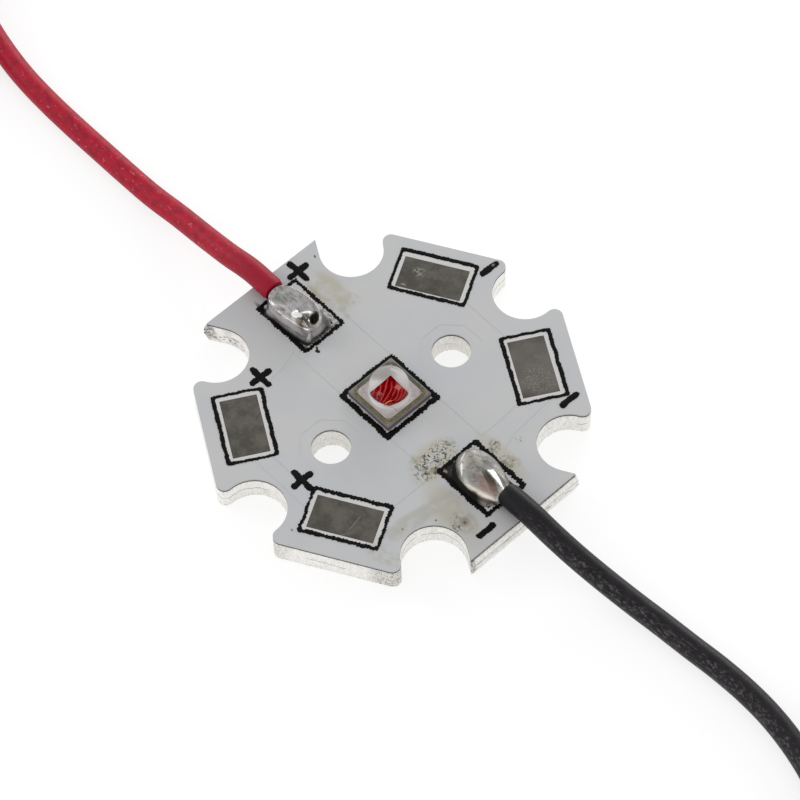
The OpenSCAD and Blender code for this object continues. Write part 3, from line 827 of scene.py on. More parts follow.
def plusOutline(at, arms):
    half = inkShape["stroke"] / 2
    outline = []
    for turn in range(4):
        reach = arms[turn % 2] / 2
        arm = [Vector((reach - half + half * math.cos(a), half * math.sin(a)))
               for a in (math.radians(d) for d in range(-90, 91, 15))]
        arm.append(Vector((half, half)))
        for p in arm:
            for quarter in range(turn):
                p = Vector((-p.y, p.x))
            outline.append(Vector(at) + p)
    return outline


def barOutline(at, length):
    half = inkShape["stroke"] / 2
    end = length / 2 - half
    upper = [Vector((half * math.cos(a), end + half * math.sin(a)))
             for a in (math.radians(d) for d in range(0, 181, 15))]
    lower = [Vector((-p.x, -p.y)) for p in upper]
    return [Vector(at) + p for p in upper + lower]


def frameSkin(item, levels):
    # Up the outer side, over the line and down the inner side
    look = {"saw": item.get("saw", rough["saw"]), "wave": rough["wave"]}
    inner = tuple(half - line for half, line in zip(item["half"], item["line"]))
    hollow = Vector(item["at"]) + Vector(item.get("slip", (0, 0)))
    outside = rounded(rectangle(item["at"], item["half"], item["turn"]), inkShape["round"])
    inside = rounded(rectangle(hollow, inner, item["turn"]), inkShape["round"])
    points = []
    for loop, side, rows in ((outside, 1, levels), (inside, -1, levels[::-1])):
        loop = ragged(densify(loop, inkShape["step"], outside), look)
        for height, inset in rows:
            points += [insetAt(p, way, (height, inset * side)) for p, way in zip(loop, outward(loop))]
    count = len(loop)
    faces = bridge(2 * len(levels) + 1, count)
    return points, [tuple(n % len(points) for n in face) for face in faces]


def inkMesh():
    levels = [(inkShape["base"], 0.0), (inkShape["edge"], 0.0), (inkShape["top"], inkShape["lip"])]
    skins = [frameSkin(item, levels) for item in frames + spareFrames()]
    marks = [plusOutline(mark["at"], mark["arms"]) for mark in plusMarks]
    marks += [barOutline(mark["at"], mark["length"]) for mark in minusMarks]
    skins += [sliced([ragged(densify(mark, inkShape["step"]), wavy)], levels, insetAt) for mark in marks]
    points, faces = [], []
    for more, skin in skins:
        faces += [tuple(len(points) + n for n in face) for face in skin]
        points += more
    return newMesh("ink_print", points, faces)


addPiece("ink_print", inkMesh(), inkFinish(), ["printed_frames"])


# Tinned pads

print("pads")
padShape = {"step": 0.1, "crown": 0.022, "rings": 13, "base": boardTop - 0.03, "wobble": 0.009}
padLook = {"dark": tone(68, 65, 57), "light": tone(92, 89, 81), "mottled": tone(112, 108, 98),
           "pale": tone(108, 104, 100), "crack": tone(58, 54, 46), "flake": tone(164, 160, 146),
           "smudge": tone(158, 156, 152), "scratch": tone(164, 161, 154), "burnt": tone(32, 28, 21)}
scratches = [
    {"at": (-4.2, -6.7), "half": (0.45, 0.012), "turn": 32, "share": 0.22},
    {"at": (-3.4, -7.6), "half": (0.22, 0.012), "turn": -50, "share": 0.25},
    {"at": (4.4, -6.5), "half": (0.02, 0.5), "turn": 12, "share": 0.35},
    {"at": (4.6, -7.2), "half": (0.35, 0.012), "turn": 60, "share": 0.35},
    {"at": (4.8, 6.3), "half": (0.28, 0.012), "turn": 80, "share": 0.25},
    {"at": (3.6, 7.3), "half": (0.2, 0.01), "turn": 20, "share": 0.25},
    {"at": (-4.7, 5.35), "half": (0.12, 0.03), "turn": 30, "share": 0.8},
]


def padFinish(name, burnt):
    f = Finish(name)
    look = padLook
    x, y = f.axes()[:2]
    cloud = f.noise(0.9, 4, 0.6)
    mottle = f.noise(0.16, 3, 0.6)
    colour = f.mix(f.between(cloud, 0.35, 0.68), look["dark"], look["light"])
    colour = f.mix(f.between(mottle, 0.55, 0.75) * 0.45, colour, look["mottled"])
    colour = f.mix(f.oval(x, y, (3.9, 6.7), (1.6, 2.2), -30, 0.4) * 0.5, colour, look["pale"])
    crazed = f.oval(x, y, (4.65, 6.35), (1.0, 0.75), 0, 0.7)
    crackle = f.between(f.cracks(0.2), 0.05, 0.0)
    colour = f.mix(crackle * crazed * 0.55, colour, look["crack"])
    flakes = f.between(f.noise(0.1, 4, 0.8), 0.5, 0.6)
    colour = f.mix(flakes * crazed * 0.4, colour, look["flake"])
    smudge = f.oval(x, y, (-4.65, 6.5), (0.35, 0.28), 20, 0.8) * f.between(f.noise(0.13, 3, 0.7), 0.45, 0.6)
    colour = f.mix(smudge * 0.7, colour, look["smudge"])
    for mark in scratches:
        line = f.slab(x, y, mark["at"], mark["half"], mark["turn"], 0.016)
        colour = f.mix(line * mark["share"], colour, look["scratch"])
    colour = f.mix(f.between(mottle, 0.62, 0.5) * burnt, colour, look["burnt"])
    return f.done(colour=colour, metal=0.35 - burnt * 0.3, rough=0.36 + cloud * 0.3 + burnt * 0.2,
                  normal=f.bump(cloud * 0.6 + mottle * 0.4, 0.02, 0.35))


def pillowMesh(name, node):
    low, high = boxOf(node)
    outline = densify(list(reversed(flatLoops(node, high.z)[0])), padShape["step"])
    centre = sum(outline, Vector((0, 0))) / len(outline)
    levels = [(padShape["base"], 1.0), (high.z - 0.004, 0.998), (high.z, 0.985)]
    for k in range(1, padShape["rings"]):
        share = k / padShape["rings"]
        levels.append((high.z + padShape["crown"] * (1 - (1 - share) ** 2.5), 0.985 * (1 - share)))

    def place(p, way, level):
        p = centre + (p - centre) * level[1]
        lift = padShape["wobble"] * noise.noise(Vector((p.x, p.y, 3.0)) / 0.9) * (1 - level[1] ** 8)
        return (p.x, p.y, level[0] + lift)

    return newMesh(name, *sliced([outline], levels, place))


padTin, fluxedTin = padFinish("padTin", 0.0), padFinish("fluxedTin", 0.95)
for side in ("plus_left", "plus_front", "minus_right", "minus_back"):
    node = "spare_pad_" + side
    addPiece("tin_" + side, pillowMesh("tin_" + side, node), padTin, [node])
for node in ("lead_pad_plus", "lead_pad_minus"):
    paintNode(node, fluxedTin)


# Emitter

print("emitter")
ledLow, ledTop = boxOf("led_base")[0].z, boxOf("led_base")[1].z
ledHalf = boxOf("led_base")[1].x
ledShape = {"round": 0.07, "bevel": 0.03, "sides": 128, "lensRadius": 1.07, "lensLift": 0.65, "fillet": 0.1,
            "skirtHalf": 1.43, "skirtPower": 9, "skirtHeight": 0.08, "skirtBevel": 0.02, "sink": 0.01}
ceramicLook = {"light": tone(128, 126, 118), "deep": tone(104, 102, 94), "olivePale": tone(148, 138, 98),
               "oliveDeep": tone(106, 96, 62), "rim": tone(112, 105, 108), "land": tone(206, 196, 197),
               "wallLight": tone(104, 98, 101), "wallDeep": tone(74, 69, 72)}
platingLook = {"light": tone(228, 219, 218), "deep": tone(206, 196, 198), "domeShade": tone(238, 234, 234),
               "domeLight": tone(255, 255, 254), "grey": tone(184, 179, 174), "corner": tone(122, 112, 84)}
chipLook = {"light": tone(156, 0, 10), "deep": tone(108, 0, 7), "line": tone(214, 98, 92), "spacing": 0.13,
            "glint": tone(214, 132, 126)}
# Paler squares on the chip: where, half sizes and share
glints = [((-0.02, 0.36), (0.085, 0.075), 0.75), ((-0.24, -0.2), (0.08, 0.07), 0.35)]


def ceramicFinish():
    f = Finish("ledCeramic")
    look = ceramicLook
    x, y, z = f.axes()
    grain = f.noise(0.1, 3, 0.6)
    cloud = f.noise(0.5, 3, 0.6)
    wobble = f.noise(0.22, 3, 0.6) - 0.5
    square = abs(x).atLeast(abs(y))
    out = square + wobble * 0.12
    front = f.between((x - y) + wobble * 0.6, -0.9, 0.2)
    colour = f.mix(f.between(cloud, 0.3, 0.7), look["light"], look["deep"])
    olives = f.mix(f.between(grain, 0.35, 0.7), look["olivePale"], look["oliveDeep"])
    band = f.between(out, 1.42, 1.36) * (front * 0.75 + 0.2)
    colour = f.mix(band, colour, olives)
    colour = f.mix(f.between(out, 1.44, 1.5) * front * 0.8, colour, look["rim"])
    colour = f.mix(f.between(square, 1.24, 1.2), colour, look["land"])
    wall = f.between(z, ledTop - 0.02, ledTop - 0.05)
    colour = f.mix(wall, colour, f.mix(cloud, look["wallLight"], look["wallDeep"]))
    return f.done(colour=colour, rough=0.5 + grain * 0.2, shine=0.3, normal=f.bump(grain, 0.012, 0.4))


def ceramicMesh():
    outline = rounded(rectangle((0, 0), (ledHalf, ledHalf), 0), ledShape["round"])
    bevel = ledShape["bevel"]
    levels = [(ledLow, bevel), (ledLow + bevel, 0.0), (ledTop - bevel, 0.0),
              (ledTop - bevel * 0.3, bevel * 0.3), (ledTop, bevel)]
    return newMesh("led_ceramic", *sliced([outline], levels, insetAt))


def platingFinish():
    f = Finish("ledPlating")
    look = platingLook
    x, y = f.axes()[:2]
    cloud = f.noise(0.35, 3, 0.6)
    colour = f.mix(f.between(cloud, 0.35, 0.7), look["light"], look["deep"])
    # Under the dome the plating is painted paler, brightest as a painted highlight towards low X
    under = f.between((x * x + y * y) ** 0.5, 1.16, 1.02)
    lit = f.between(x * 0.94 + y * 0.34, 0.3, -0.4)
    colour = f.mix(under, colour, f.mix(lit, look["domeShade"], look["domeLight"]))
    colour = f.mix(f.oval(x, y, (-0.76, 0.3), (0.2, 0.42), -45, 0.8) * 0.8, colour, look["grey"])
    corner = f.between(abs(x) + abs(y) + cloud * 0.1, 2.33, 2.37)
    colour = f.mix(corner * f.between(x - y, -2.0, -1.0), colour, look["corner"])
    return f.done(colour=colour, rough=0.5 + cloud * 0.15, shine=0.1, normal=f.bump(cloud, 0.01, 0.3))


def chipFinish():
    # Bent pale lines at an even spacing, with a few squares of light
    f = Finish("ledChip")
    look = chipLook
    x, y = f.axes()[:2]
    swing = f.noise(0.45, 2, 0.5)
    bend = (x * x + y * y) * 0.3
    u = x * 0.87 + y * 0.49 + bend + swing * 0.17
    comb = abs((u / look["spacing"]).fraction() - 0.5)
    lines = f.between(comb, 0.26, 0.02) * f.between(f.noise(0.3, 2, 0.5), 0.28, 0.48)
    cloud = f.noise(0.2, 3, 0.6)
    colour = f.mix(f.between(cloud, 0.3, 0.7), look["light"], look["deep"])
    colour = f.mix(lines * 0.6, colour, look["line"])
    for at, half, share in glints:
        colour = f.mix(f.slab(x, y, at, half, 8, 0.03) * share, colour, look["glint"])
    return f.done(colour=colour, rough=0.4, shine=0.0, normal=f.bump(cloud, 0.004, 0.3))


def lensMesh():
    # Circles down the dome, which widen into the square skirt; each has a radius, its share of the square
    # and its height over the base
    count = ledShape["sides"]
    radius, lift, fillet = ledShape["lensRadius"], ledShape["lensLift"], ledShape["fillet"]
    skirt = ledShape["skirtHeight"]
    rings = []
    for k in range(1, 25):
        a = math.radians(90 * k / 24)
        rings.append((radius * math.sin(a), 0.0, lift + radius * math.cos(a)))
    for k in range(1, 5):
        rings.append((radius, 0.0, lift + (skirt + fillet - lift) * k / 4))
    for k in range(1, 6):
        a = math.radians(90 * k / 5)
        rings.append((radius + fillet * (1 - math.cos(a)), 0.0, skirt + fillet - fillet * math.sin(a)))
    for share in (0.3, 0.65, 0.9, 0.97):
        rings.append((radius + fillet, share, skirt))
    rings.append((radius + fillet, 1.0, skirt - ledShape["skirtBevel"]))
    rings.append((radius + fillet, 1.0, -ledShape["sink"]))
    points = [(0, 0, ledTop + lift + radius)]
    power = ledShape["skirtPower"]
    for reach, square, height in rings:
        for i in range(count):
            a = 2 * math.pi * i / count
            way = Vector((math.cos(a), math.sin(a)))
            edge = way / (abs(way.x) ** power + abs(way.y) ** power) ** (1 / power) * ledShape["skirtHalf"]
            p = (way * reach).lerp(edge, square)
            points.append((p.x, p.y, ledTop + height))
    faces = [(0, 1 + i, 1 + (i + 1) % count) for i in range(count)]
    faces += [tuple(1 + n for n in face) for face in bridge(len(rings), count)]
    faces.append(tuple(range(1 + (len(rings) - 1) * count, 1 + len(rings) * count)))
    return newMesh("led_dome", points, faces, 50)


addPiece("led_ceramic", ceramicMesh(), ceramicFinish(), ["led_base"])
paintNode("led_plating", platingFinish())
paintNode("led_chip", chipFinish())
goldFinish = Finish("goldWire")
paintNode("led_bond_wire", goldFinish.done(
    colour=goldFinish.mix(goldFinish.noise(0.05), tone(238, 196, 104), tone(214, 166, 78)), metal=1.0,
    rough=0.25))
domeFinish = Finish("clearDome")  # without tint it mirrors nothing, which keeps bright specks out of it
addPiece("led_dome", lensMesh(), domeFinish.done(
    colour=domeFinish.mix(domeFinish.noise(0.4), (1, 1, 1, 1), tone(252, 252, 252)),
    clear=1.0, ior=1.41, rough=0.03, tint=(0, 0, 0, 1)), ["led_lens"])
for node in ("led_joint_plus", "led_joint_minus", "led_joint_heat"):
    paintNode(node, tinnedWire)


# Solder joints

print("solder")
moundCount = 160  # points round a joint
footZ = boardTop - 0.025
redMound = {
    "pad": (-6.975, -0.05), "centre": (-7.0, -0.2), "crest": 2.6, "sleeveLift": 0.03,
    "foot": [(-8.6, 0.0), (-8.55, 0.6), (-8.2, 0.96), (-7.2, 1.03), (-6.2, 1.02), (-5.5, 0.9), (-5.3, 0.4),
             (-5.3, -0.4), (-5.32, -1.0), (-5.9, -1.14), (-6.9, -1.2), (-7.7, -1.22), (-8.12, -1.38),
             (-8.45, -1.35), (-8.64, -0.95), (-8.62, -0.5)],
    "rim": [(-8.74, -0.14), (-8.35, 0.38), (-7.5, 0.66), (-6.6, 0.72), (-5.75, 0.46), (-5.36, -0.05),
            (-5.5, -0.72), (-6.4, -1.02), (-7.6, -1.14), (-8.5, -0.84)],
    "bulge": 0.06, "pool": 0.07,
    "lip": ((0.0, 0.0), (0.012, 0.014), (0.035, 0.022), (0.065, 0.02), (0.1, 0.006), (0.15, -0.006)),
    "dents": [{"at": (-5.92, 0.1), "size": (0.3, 0.52), "turn": 47, "depth": 0.42},
              {"at": (-6.42, -0.38), "size": (0.42, 0.42), "turn": 47, "depth": 0.12},
              {"at": (-7.6, -0.15), "size": (0.7, 0.5), "turn": 0, "depth": 0.03},
              {"at": (-6.84, -0.42), "size": (0.24, 0.2), "turn": 47, "depth": -0.09},
              {"at": (-6.4, 0.06), "size": (0.36, 0.1), "turn": 47, "depth": -0.07}],
}
blackMound = {
    "pad": (6.975, -0.05), "centre": (7.0, -0.05), "shoulder": 2.1,
    "foot": [(5.22, -0.05), (5.3, 0.5), (5.62, 0.9), (6.3, 1.03), (7.3, 1.02), (8.1, 0.94), (8.5, 0.6),
             (8.56, 0.0), (8.5, -0.7), (8.3, -1.08), (7.8, -1.18), (7.0, -1.22), (6.3, -1.18), (5.7, -0.92),
             (5.36, -0.5)],
    "rim": [(5.42, 0.05), (5.52, 0.55), (5.95, 0.92), (6.6, 1.07), (7.2, 1.05), (7.75, 0.9), (8.3, 0.62),
            (8.84, 0.38), (8.84, -0.5), (8.4, -0.8), (7.8, -1.04), (7.1, -1.13), (6.4, -1.04),
            (5.85, -0.76), (5.5, -0.38)],
    "bulge": 0.04, "ridge": ((6.35, -0.12), (8.3, -0.3)), "top": 2.82, "endTop": 2.46,
    # The wetted wire: its crest, with one flank that faces the back and a steep one
    "wire": {"from": (7.02, 0.12), "to": (8.84, -0.2), "slope": 27, "steep": 58, "blend": 0.05,
             "crest": ((0.0, 2.73), (0.22, 2.86), (0.6, 2.92), (1.0, 2.86)),
             "width": ((0.0, 0.26), (0.3, 0.34), (1.0, 0.14))},
}


def closedCurve(knots, parts):
    # A smooth closed line through the knots
    curve = []
    count = len(knots)
    points = [Vector(k) for k in knots]
    for i in range(count):
        a, b, c, d = (points[(i + k - 1) % count] for k in range(4))
        for k in range(parts):
            t = k / parts
            curve.append(0.5 * (2 * b + (c - a) * t + (2 * a - 5 * b + 4 * c - d) * t * t
                                + (3 * b - a - 3 * c + d) * t ** 3))
    return curve


def reachOf(outline, centre, way):
    # How far a closed outline lies from its centre in one direction
    for p, q in zip(outline, outline[1:] + outline[:1]):
        run, gap = q - p, p - centre
        cross = way.x * run.y - way.y * run.x
        if abs(cross) < 1e-9:
            continue
        far = (gap.x * run.y - gap.y * run.x) / cross
        along = (gap.x * way.y - gap.y * way.x) / cross
        if far > 0 and -1e-6 <= along <= 1 + 1e-6:
            return far
    return 0.0


def moundWall(shape, heightAt):
    # For each direction: the foot on the pad and the rim above it
    pad, centre = Vector(shape["pad"]), Vector(shape["centre"])
    rim, low = closedCurve(shape["rim"], 12), closedCurve(shape["foot"], 8)
    columns = []
    for i in range(moundCount):
        a = 2 * math.pi * i / moundCount
        way = Vector((math.cos(a), math.sin(a)))
        wobble = 0.03 * noise.noise(Vector((way.x * 4, way.y * 4, pad.x)))
        foot = pad + way * (reachOf(low, pad, way) + wobble)
        top = centre + way * reachOf(rim, centre, way)
        columns.append((foot, top, way, heightAt(top)))
    return columns


def wallRows(columns, bulge, steps):
    rows = []
    for k in range(steps):
        t = k / steps
        share = 1 - (1 - t) ** 2
        out = bulge * math.sin(math.pi * t)
        rows.append([tuple(foot.lerp(top, share) + way * out) + (footZ + (z - footZ) * t,)
                     for foot, top, way, z in columns])
    return rows


def closeRows(name, rows):
    points = [p for row in rows for p in row]
    count = len(rows[0])
    faces = bridge(len(rows), count)
    faces.append(tuple(range(count)))
    faces.append(tuple(range((len(rows) - 1) * count, len(rows) * count)))
    return newMesh(name, points, faces, 70)


def dentAt(p, dent):
    a = math.radians(dent["turn"])
    dx, dy = p.x - dent["at"][0], p.y - dent["at"][1]
    u = (dx * math.cos(a) + dy * math.sin(a)) / dent["size"][0]
    v = (dy * math.cos(a) - dx * math.sin(a)) / dent["size"][1]
    return dent["depth"] * math.exp(-2 * (u * u + v * v))


def redMoundMesh():
    shape = redMound
    centre = Vector(shape["centre"])
    columns = moundWall(shape, lambda p: shape["crest"] + shape["sleeveLift"] * (-7.0 - p.x)
                        + 0.03 * noise.noise(Vector((p.x, p.y, 0)) / 0.6))
    rows = wallRows(columns, shape["bulge"], 14)
    for inward, lift in shape["lip"]:
        rows.append([tuple(top - way * inward) + (z + lift,) for foot, top, way, z in columns])
    lipWidth, lipDrop = shape["lip"][-1]
    steps = 34
    for k in range(1, steps):
        u = k / steps
        row = []
        for foot, top, way, z in columns:
            p = (top - way * lipWidth).lerp(centre, u)
            sink = shape["pool"] * (1 - (1 - min(u / 0.65, 1)) ** 1.8)
            sink += sum(dentAt(p, dent) for dent in shape["dents"]) * min(1, u * 5)
            level = (z + lipDrop) * (1 - u) + shape["crest"] * u
            ripple = 0.012 * noise.noise(Vector((p.x * 0.5, p.y, 1)) / 0.22)
            row.append((p.x, p.y, level - sink + ripple))
        rows.append(row)
    return closeRows("red_joint", rows)


def eased(stops, share):
    # A smooth line through the pairs of place and height
    for (start, low), (end, high) in zip(stops, stops[1:]):
        if share <= end:
            t = (share - start) / (end - start)
            return low + (high - low) * t * t * (3 - 2 * t)
    return stops[-1][1]


def blackMoundMesh():
    # A broad body, out of which the wetted wire rises as a ridge
    shape, wire = blackMound, blackMound["wire"]
    start, end = (Vector(p) for p in shape["ridge"])
    run = end - start
    first, last = Vector(wire["from"]), Vector(wire["to"])
    length = (last - first).length
    ahead = (last - first) / length

    def shareOf(p):
        return min(max((p - start).dot(run) / run.length_squared, 0.0), 1.0)

    def topAt(share):
        return shape["top"] + (shape["endTop"] - shape["top"]) * share * share * (3 - 2 * share)

    slope, steep = (math.tan(math.radians(wire[side])) for side in ("slope", "steep"))

    def withWire(p, z):
        share = min(max((p - first).dot(ahead) / length, -0.3), 1.0)
        off = (p - first).cross(ahead) * -1
        crest = eased(wire["crest"], max(share, 0.0)) - 5.0 * min(share, 0.0) ** 2
        width = eased(wire["width"], max(share, 0.0))
        if off < 0:
            over = crest + off * steep
        else:
            over = crest - off * slope - max(0.0, off - width) * (steep - slope)
        near = max(wire["blend"] - abs(over - z), 0) / wire["blend"]
        return max(over, z) + near * near * wire["blend"] / 4

    columns = moundWall(shape, lambda p: shape["shoulder"]
                        + 0.02 * noise.noise(Vector((p.x, p.y, 5)) / 0.6))
    rows = wallRows(columns, shape["bulge"], 12)
    steps = 44
    for k in range(steps):
        u = k / steps
        row = []
        for foot, top, way, z in columns:
            p = top.lerp(start + run * shareOf(top), u)
            rise = (1 - (1 - u) ** 2.3) ** (1 / 1.75)
            level = z + (topAt(shareOf(p)) - z) * rise
            row.append((p.x, p.y, withWire(p, level)))
        rows.append(row)
    return closeRows("black_joint", rows)


smearTone, burntFluxAndShadeTone = tone(98, 96, 91), tone(12, 10, 7)


def solderFinish(name, look):
    f = Finish(name)
    x, y, z = f.axes()
    frost = f.noise(0.07, 3, 0.65)
    cloud = f.noise(0.5, 4, 0.6, f.stretched(f.here, (0.6, 1, 1)), 0.5)
    smear = f.noise(0.2, 4, 0.7, f.stretched(f.turned(f.here, look["grain"]), (0.35, 1, 1)), 0.8)
    colour = f.mix(f.between(cloud, 0.35, 0.66), look["pale"], look["deep"])
    colour = f.mix(f.between(smear, 0.48, 0.68) * look["smear"], colour, smearTone)
    # A patch's flat share swaps the metal's mirror for its own colour: painted highlights and painted
    # reflections
    matte, flatShare = 0.0, 0.0
    for patch in look["patches"]:
        spot = f.oval(x, y, patch["at"], patch["size"], patch.get("turn", 47), patch.get("soft", 0.7))
        low, high = patch.get("height", (1.95, 9.0))
        spot = spot * f.between(z, low - 0.08, low + 0.08) * f.between(z, high + 0.08, high - 0.08)
        if "broken" in patch:
            spot = spot * f.between(smear, patch["broken"] - 0.06, patch["broken"] + 0.06)
        colour = f.mix(spot * patch["share"], colour, patch["tone"])
        matte = spot * patch.get("matte", 0.0) + matte
        flatShare = spot * patch.get("flatShare", 0.0) + flatShare
    # Burnt flux with painted shade darkens the foot, apart from the side that faces the back
    side = f.between((x - look["middle"]) * look["sideX"] - y, look["side"] - 0.3, look["side"] + 0.3)
    uneven = (cloud - 0.5) * 0.7
    burnt = f.between(z + uneven, footZ + look["burnt"], footZ + look["black"]) * side
    colour = f.mix(burnt * 0.98, colour, burntFluxAndShadeTone)
    return f.done(colour=colour, metal=(1.0 - flatShare - burnt).atLeast(0.0), shine=0.12,
                  rough=0.2 + cloud * 0.14 + matte + burnt * 0.25,
                  normal=f.bump(frost * 0.5 + cloud * 0.5 + smear * 0.8, 0.018, 0.45))


redLook = {
    "grain": 10, "middle": -7.0, "sideX": 0.0, "side": 0.6, "burnt": 0.5, "black": 0.12, "smear": 0.8,
    "pale": tone(196, 193, 192), "deep": tone(144, 142, 140), "patches": [
        # Painted reflections: greenish at the wire end and lilac in the middle of the pool
        {"at": (-8.1, -0.4), "size": (0.35, 0.3), "tone": tone(112, 120, 104), "share": 0.4, "matte": 0.15},
        {"at": (-7.0, 0.15), "size": (0.5, 0.4), "tone": tone(172, 166, 172), "share": 0.4, "matte": 0.1},
        {"at": (-6.12, -0.48), "size": (0.5, 0.46), "tone": tone(66, 56, 48), "share": 0.92, "broken": 0.42,
         "matte": 0.15},
        # Painted reflection: a pale band along the near wall
        {"at": (-7.0, -1.1), "size": (1.5, 0.22), "turn": 3, "tone": tone(196, 189, 191), "share": 0.8,
         "height": (2.2, 2.56), "matte": 0.2, "flatShare": 0.35},
        # Painted highlights: white glints in the pool
        {"at": (-6.78, -0.5), "size": (0.2, 0.2), "tone": tone(250, 250, 248), "share": 1.0, "soft": 0.5,
         "flatShare": 0.7},
        {"at": (-6.62, -0.34), "size": (0.14, 0.12), "tone": tone(246, 246, 244), "share": 1.0, "soft": 0.5,
         "flatShare": 0.7},
        {"at": (-6.42, 0.08), "size": (0.36, 0.07), "tone": tone(250, 250, 248), "share": 1.0, "soft": 0.6,
         "flatShare": 0.6},
        # Painted shade in the deep hollow, coloured like brown flux
        {"at": (-5.92, 0.14), "size": (0.24, 0.4), "tone": tone(40, 38, 31), "share": 0.93, "soft": 0.35,
         "matte": 0.3},
        # Painted highlights down the near corner, along the inner end and at the near foot
        {"at": (-5.4, -0.84), "size": (0.09, 0.16), "turn": 0, "tone": tone(224, 220, 218), "share": 0.9,
         "height": (1.72, 2.5), "flatShare": 0.5},
        {"at": (-5.32, 0.15), "size": (0.14, 0.7), "turn": 0, "tone": tone(186, 183, 181), "share": 0.8,
         "height": (1.95, 2.56), "flatShare": 0.35},
        {"at": (-8.3, -1.28), "size": (0.26, 0.16), "turn": 0, "tone": tone(206, 202, 200), "share": 0.8,
         "height": (1.68, 2.0), "flatShare": 0.4},
    ]}
blackLook = {
    "grain": -30, "middle": 7.0, "sideX": -0.6, "side": 0.4, "burnt": 0.76, "black": 0.48, "smear": 0.6,
    "pale": tone(198, 196, 192), "deep": tone(148, 146, 142), "patches": [
        {"at": (6.35, -0.05), "size": (0.8, 0.8), "tone": tone(158, 155, 146), "share": 0.75,
         "matte": 0.28},
        {"at": (7.0, 0.62), "size": (0.9, 0.26), "turn": 0, "tone": tone(142, 141, 139), "share": 0.75,
         "matte": 0.14, "broken": 0.4},
        # Flat grey painted where the shape would mirror the back lamp: painted shade over a highlight
        {"at": (7.13, 0.33), "size": (0.3, 0.24), "turn": 0, "tone": tone(146, 144, 140), "share": 0.95,
         "matte": 0.4, "flatShare": 0.75},
        {"at": (6.9, 0.78), "size": (0.35, 0.22), "turn": 0, "tone": tone(150, 148, 146), "share": 0.8,
         "matte": 0.3, "flatShare": 0.6},
        {"at": (6.5, 0.1), "size": (0.9, 0.8), "tone": tone(96, 94, 88), "share": 0.45, "broken": 0.56,
         "matte": 0.1},
        # Painted reflections beside the ridge: pinkish brown and dark green-grey
        {"at": (7.85, -0.5), "size": (0.3, 0.7), "turn": 80, "tone": tone(146, 112, 100), "share": 0.7,
         "soft": 0.98, "matte": 0.1},
        {"at": (7.7, -0.16), "size": (0.6, 0.14), "turn": -10, "tone": tone(62, 66, 54), "share": 0.85},
        {"at": (8.15, -0.32), "size": (0.5, 0.14), "turn": -14, "tone": tone(112, 88, 76), "share": 0.6,
         "soft": 0.95},
        # Painted highlight: a cream band along the near shoulder
        {"at": (7.75, -1.0), "size": (1.05, 0.34), "turn": 10, "tone": tone(240, 232, 220), "share": 0.9,
         "height": (2.14, 2.36), "flatShare": 0.65},
        {"at": (8.1, -1.05), "size": (1.0, 0.3), "turn": 8, "tone": tone(112, 88, 78), "share": 0.85,
         "soft": 0.95, "height": (1.84, 2.06), "flatShare": 0.3},
        # Painted highlights: thin white rim lines at the inner end
        {"at": (6.26, -0.74), "size": (0.34, 0.05), "turn": -42, "tone": tone(238, 236, 230), "share": 0.9,
         "flatShare": 0.6},
        {"at": (5.8, -0.2), "size": (0.05, 0.3), "turn": 24, "tone": tone(232, 230, 224), "share": 0.7,
         "flatShare": 0.5},
    ]}
addPiece("red_joint", redMoundMesh(), solderFinish("redSolder", redLook), ["solder_mound_red"])
addPiece("black_joint", blackMoundMesh(), solderFinish("blackSolder", blackLook),
         ["solder_mound_black"])


# Stage

print("stage")
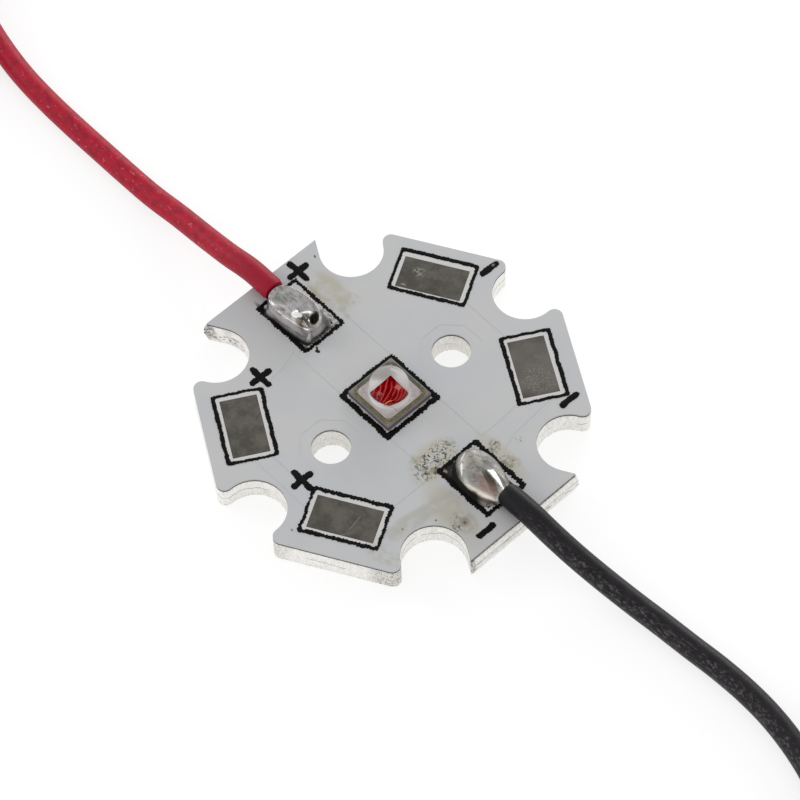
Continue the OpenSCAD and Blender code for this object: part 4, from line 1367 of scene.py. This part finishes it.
# Seen straight or in a mirror the paper is mostly its own white, so that the shadows stay faint
stageShape = {"half": 600.0, "paper": tone(238, 238, 238), "seenColour": (0.3, 0.3, 0.3, 1),
              "seenGlow": (0.74, 0.74, 0.74, 1)}
half = stageShape["half"]
floorMesh = newMesh("floor", [(-half, -half, 0), (half, -half, 0), (half, half, 0), (-half, half, 0)],
                    [(0, 1, 2, 3)])
floor = bpy.data.objects.new("floor", floorMesh)
bpy.context.scene.collection.objects.link(floor)
floorFinish = Finish("floorPaper")
rays = floorFinish.add("ShaderNodeLightPath", output="Is Camera Ray").link.node
seen = [Socket(floorFinish, rays.outputs[name])
        for name in ("Is Camera Ray", "Is Glossy Ray", "Is Transmission Ray")]
direct = (seen[0] + seen[1] + seen[2]).atMost(1.0)
floorFinish.done(colour=floorFinish.mix(direct, stageShape["paper"], stageShape["seenColour"]),
                 glow=floorFinish.mix(direct, (0, 0, 0, 1), stageShape["seenGlow"]),
                 glowPower=1.0, rough=0.9, shine=0.0)
floorMesh.materials.append(floorFinish.material)

# An even sky, a little brighter low down, and pure white where the camera sees it
skyLook = {"low": (1.1, 1.1, 1.1, 1), "high": (0.76, 0.76, 0.76, 1), "highFrom": 0.85, "seen": (1, 1, 1, 1)}
world = bpy.data.worlds.new("studio")
bpy.context.scene.world = world
world.use_nodes = True
sky = Graph(world.node_tree)
upward = sky.axes(sky.add("ShaderNodeTexCoord", output="Generated"))[2]
shade = sky.mix(sky.between(upward, 0.0, skyLook["highFrom"]), skyLook["low"], skyLook["high"])
seenSky = sky.add("ShaderNodeLightPath", output="Is Camera Ray")
world.node_tree.links.new(sky.mix(seenSky, shade, skyLook["seen"]).link,
                          world.node_tree.nodes["Background"].inputs["Color"])

softboxes = {"backBox": {"place": (-120, 270, 90), "size": (200, 90), "power": 0.3},
             "leftBox": {"place": (-260, -110, 140), "size": (140, 90), "power": 0.16}}
for name, box in softboxes.items():
    light = bpy.data.lights.new(name, "AREA")
    light.shape = "RECTANGLE"
    light.size, light.size_y = box["size"][0] * mm, box["size"][1] * mm
    light.energy = box["power"]
    lamp = bpy.data.objects.new(name, light)
    lamp.location = Vector(box["place"]) * mm
    lamp.rotation_euler = (-Vector(box["place"])).to_track_quat("-Z", "Y").to_euler()
    lamp.visible_transmission = False  # keeps bright specks out of the dome
    bpy.context.scene.collection.objects.link(lamp)

camera = {"place": (80.9781, -69.6012, 170.1041), "turn": (32.2795, 1.2619, 47.0388), "lens": 171.33,
          "sensor": 36, "near": 0.01}
view = bpy.data.cameras.new("camera")
view.lens = camera["lens"]
view.sensor_width = camera["sensor"]
view.clip_start = camera["near"]
viewpoint = bpy.data.objects.new("camera", view)
viewpoint.location = Vector(camera["place"]) * mm
viewpoint.rotation_euler = [math.radians(a) for a in camera["turn"]]
bpy.context.scene.collection.objects.link(viewpoint)
bpy.context.scene.camera = viewpoint
bpy.context.scene.view_settings.view_transform = "Standard"
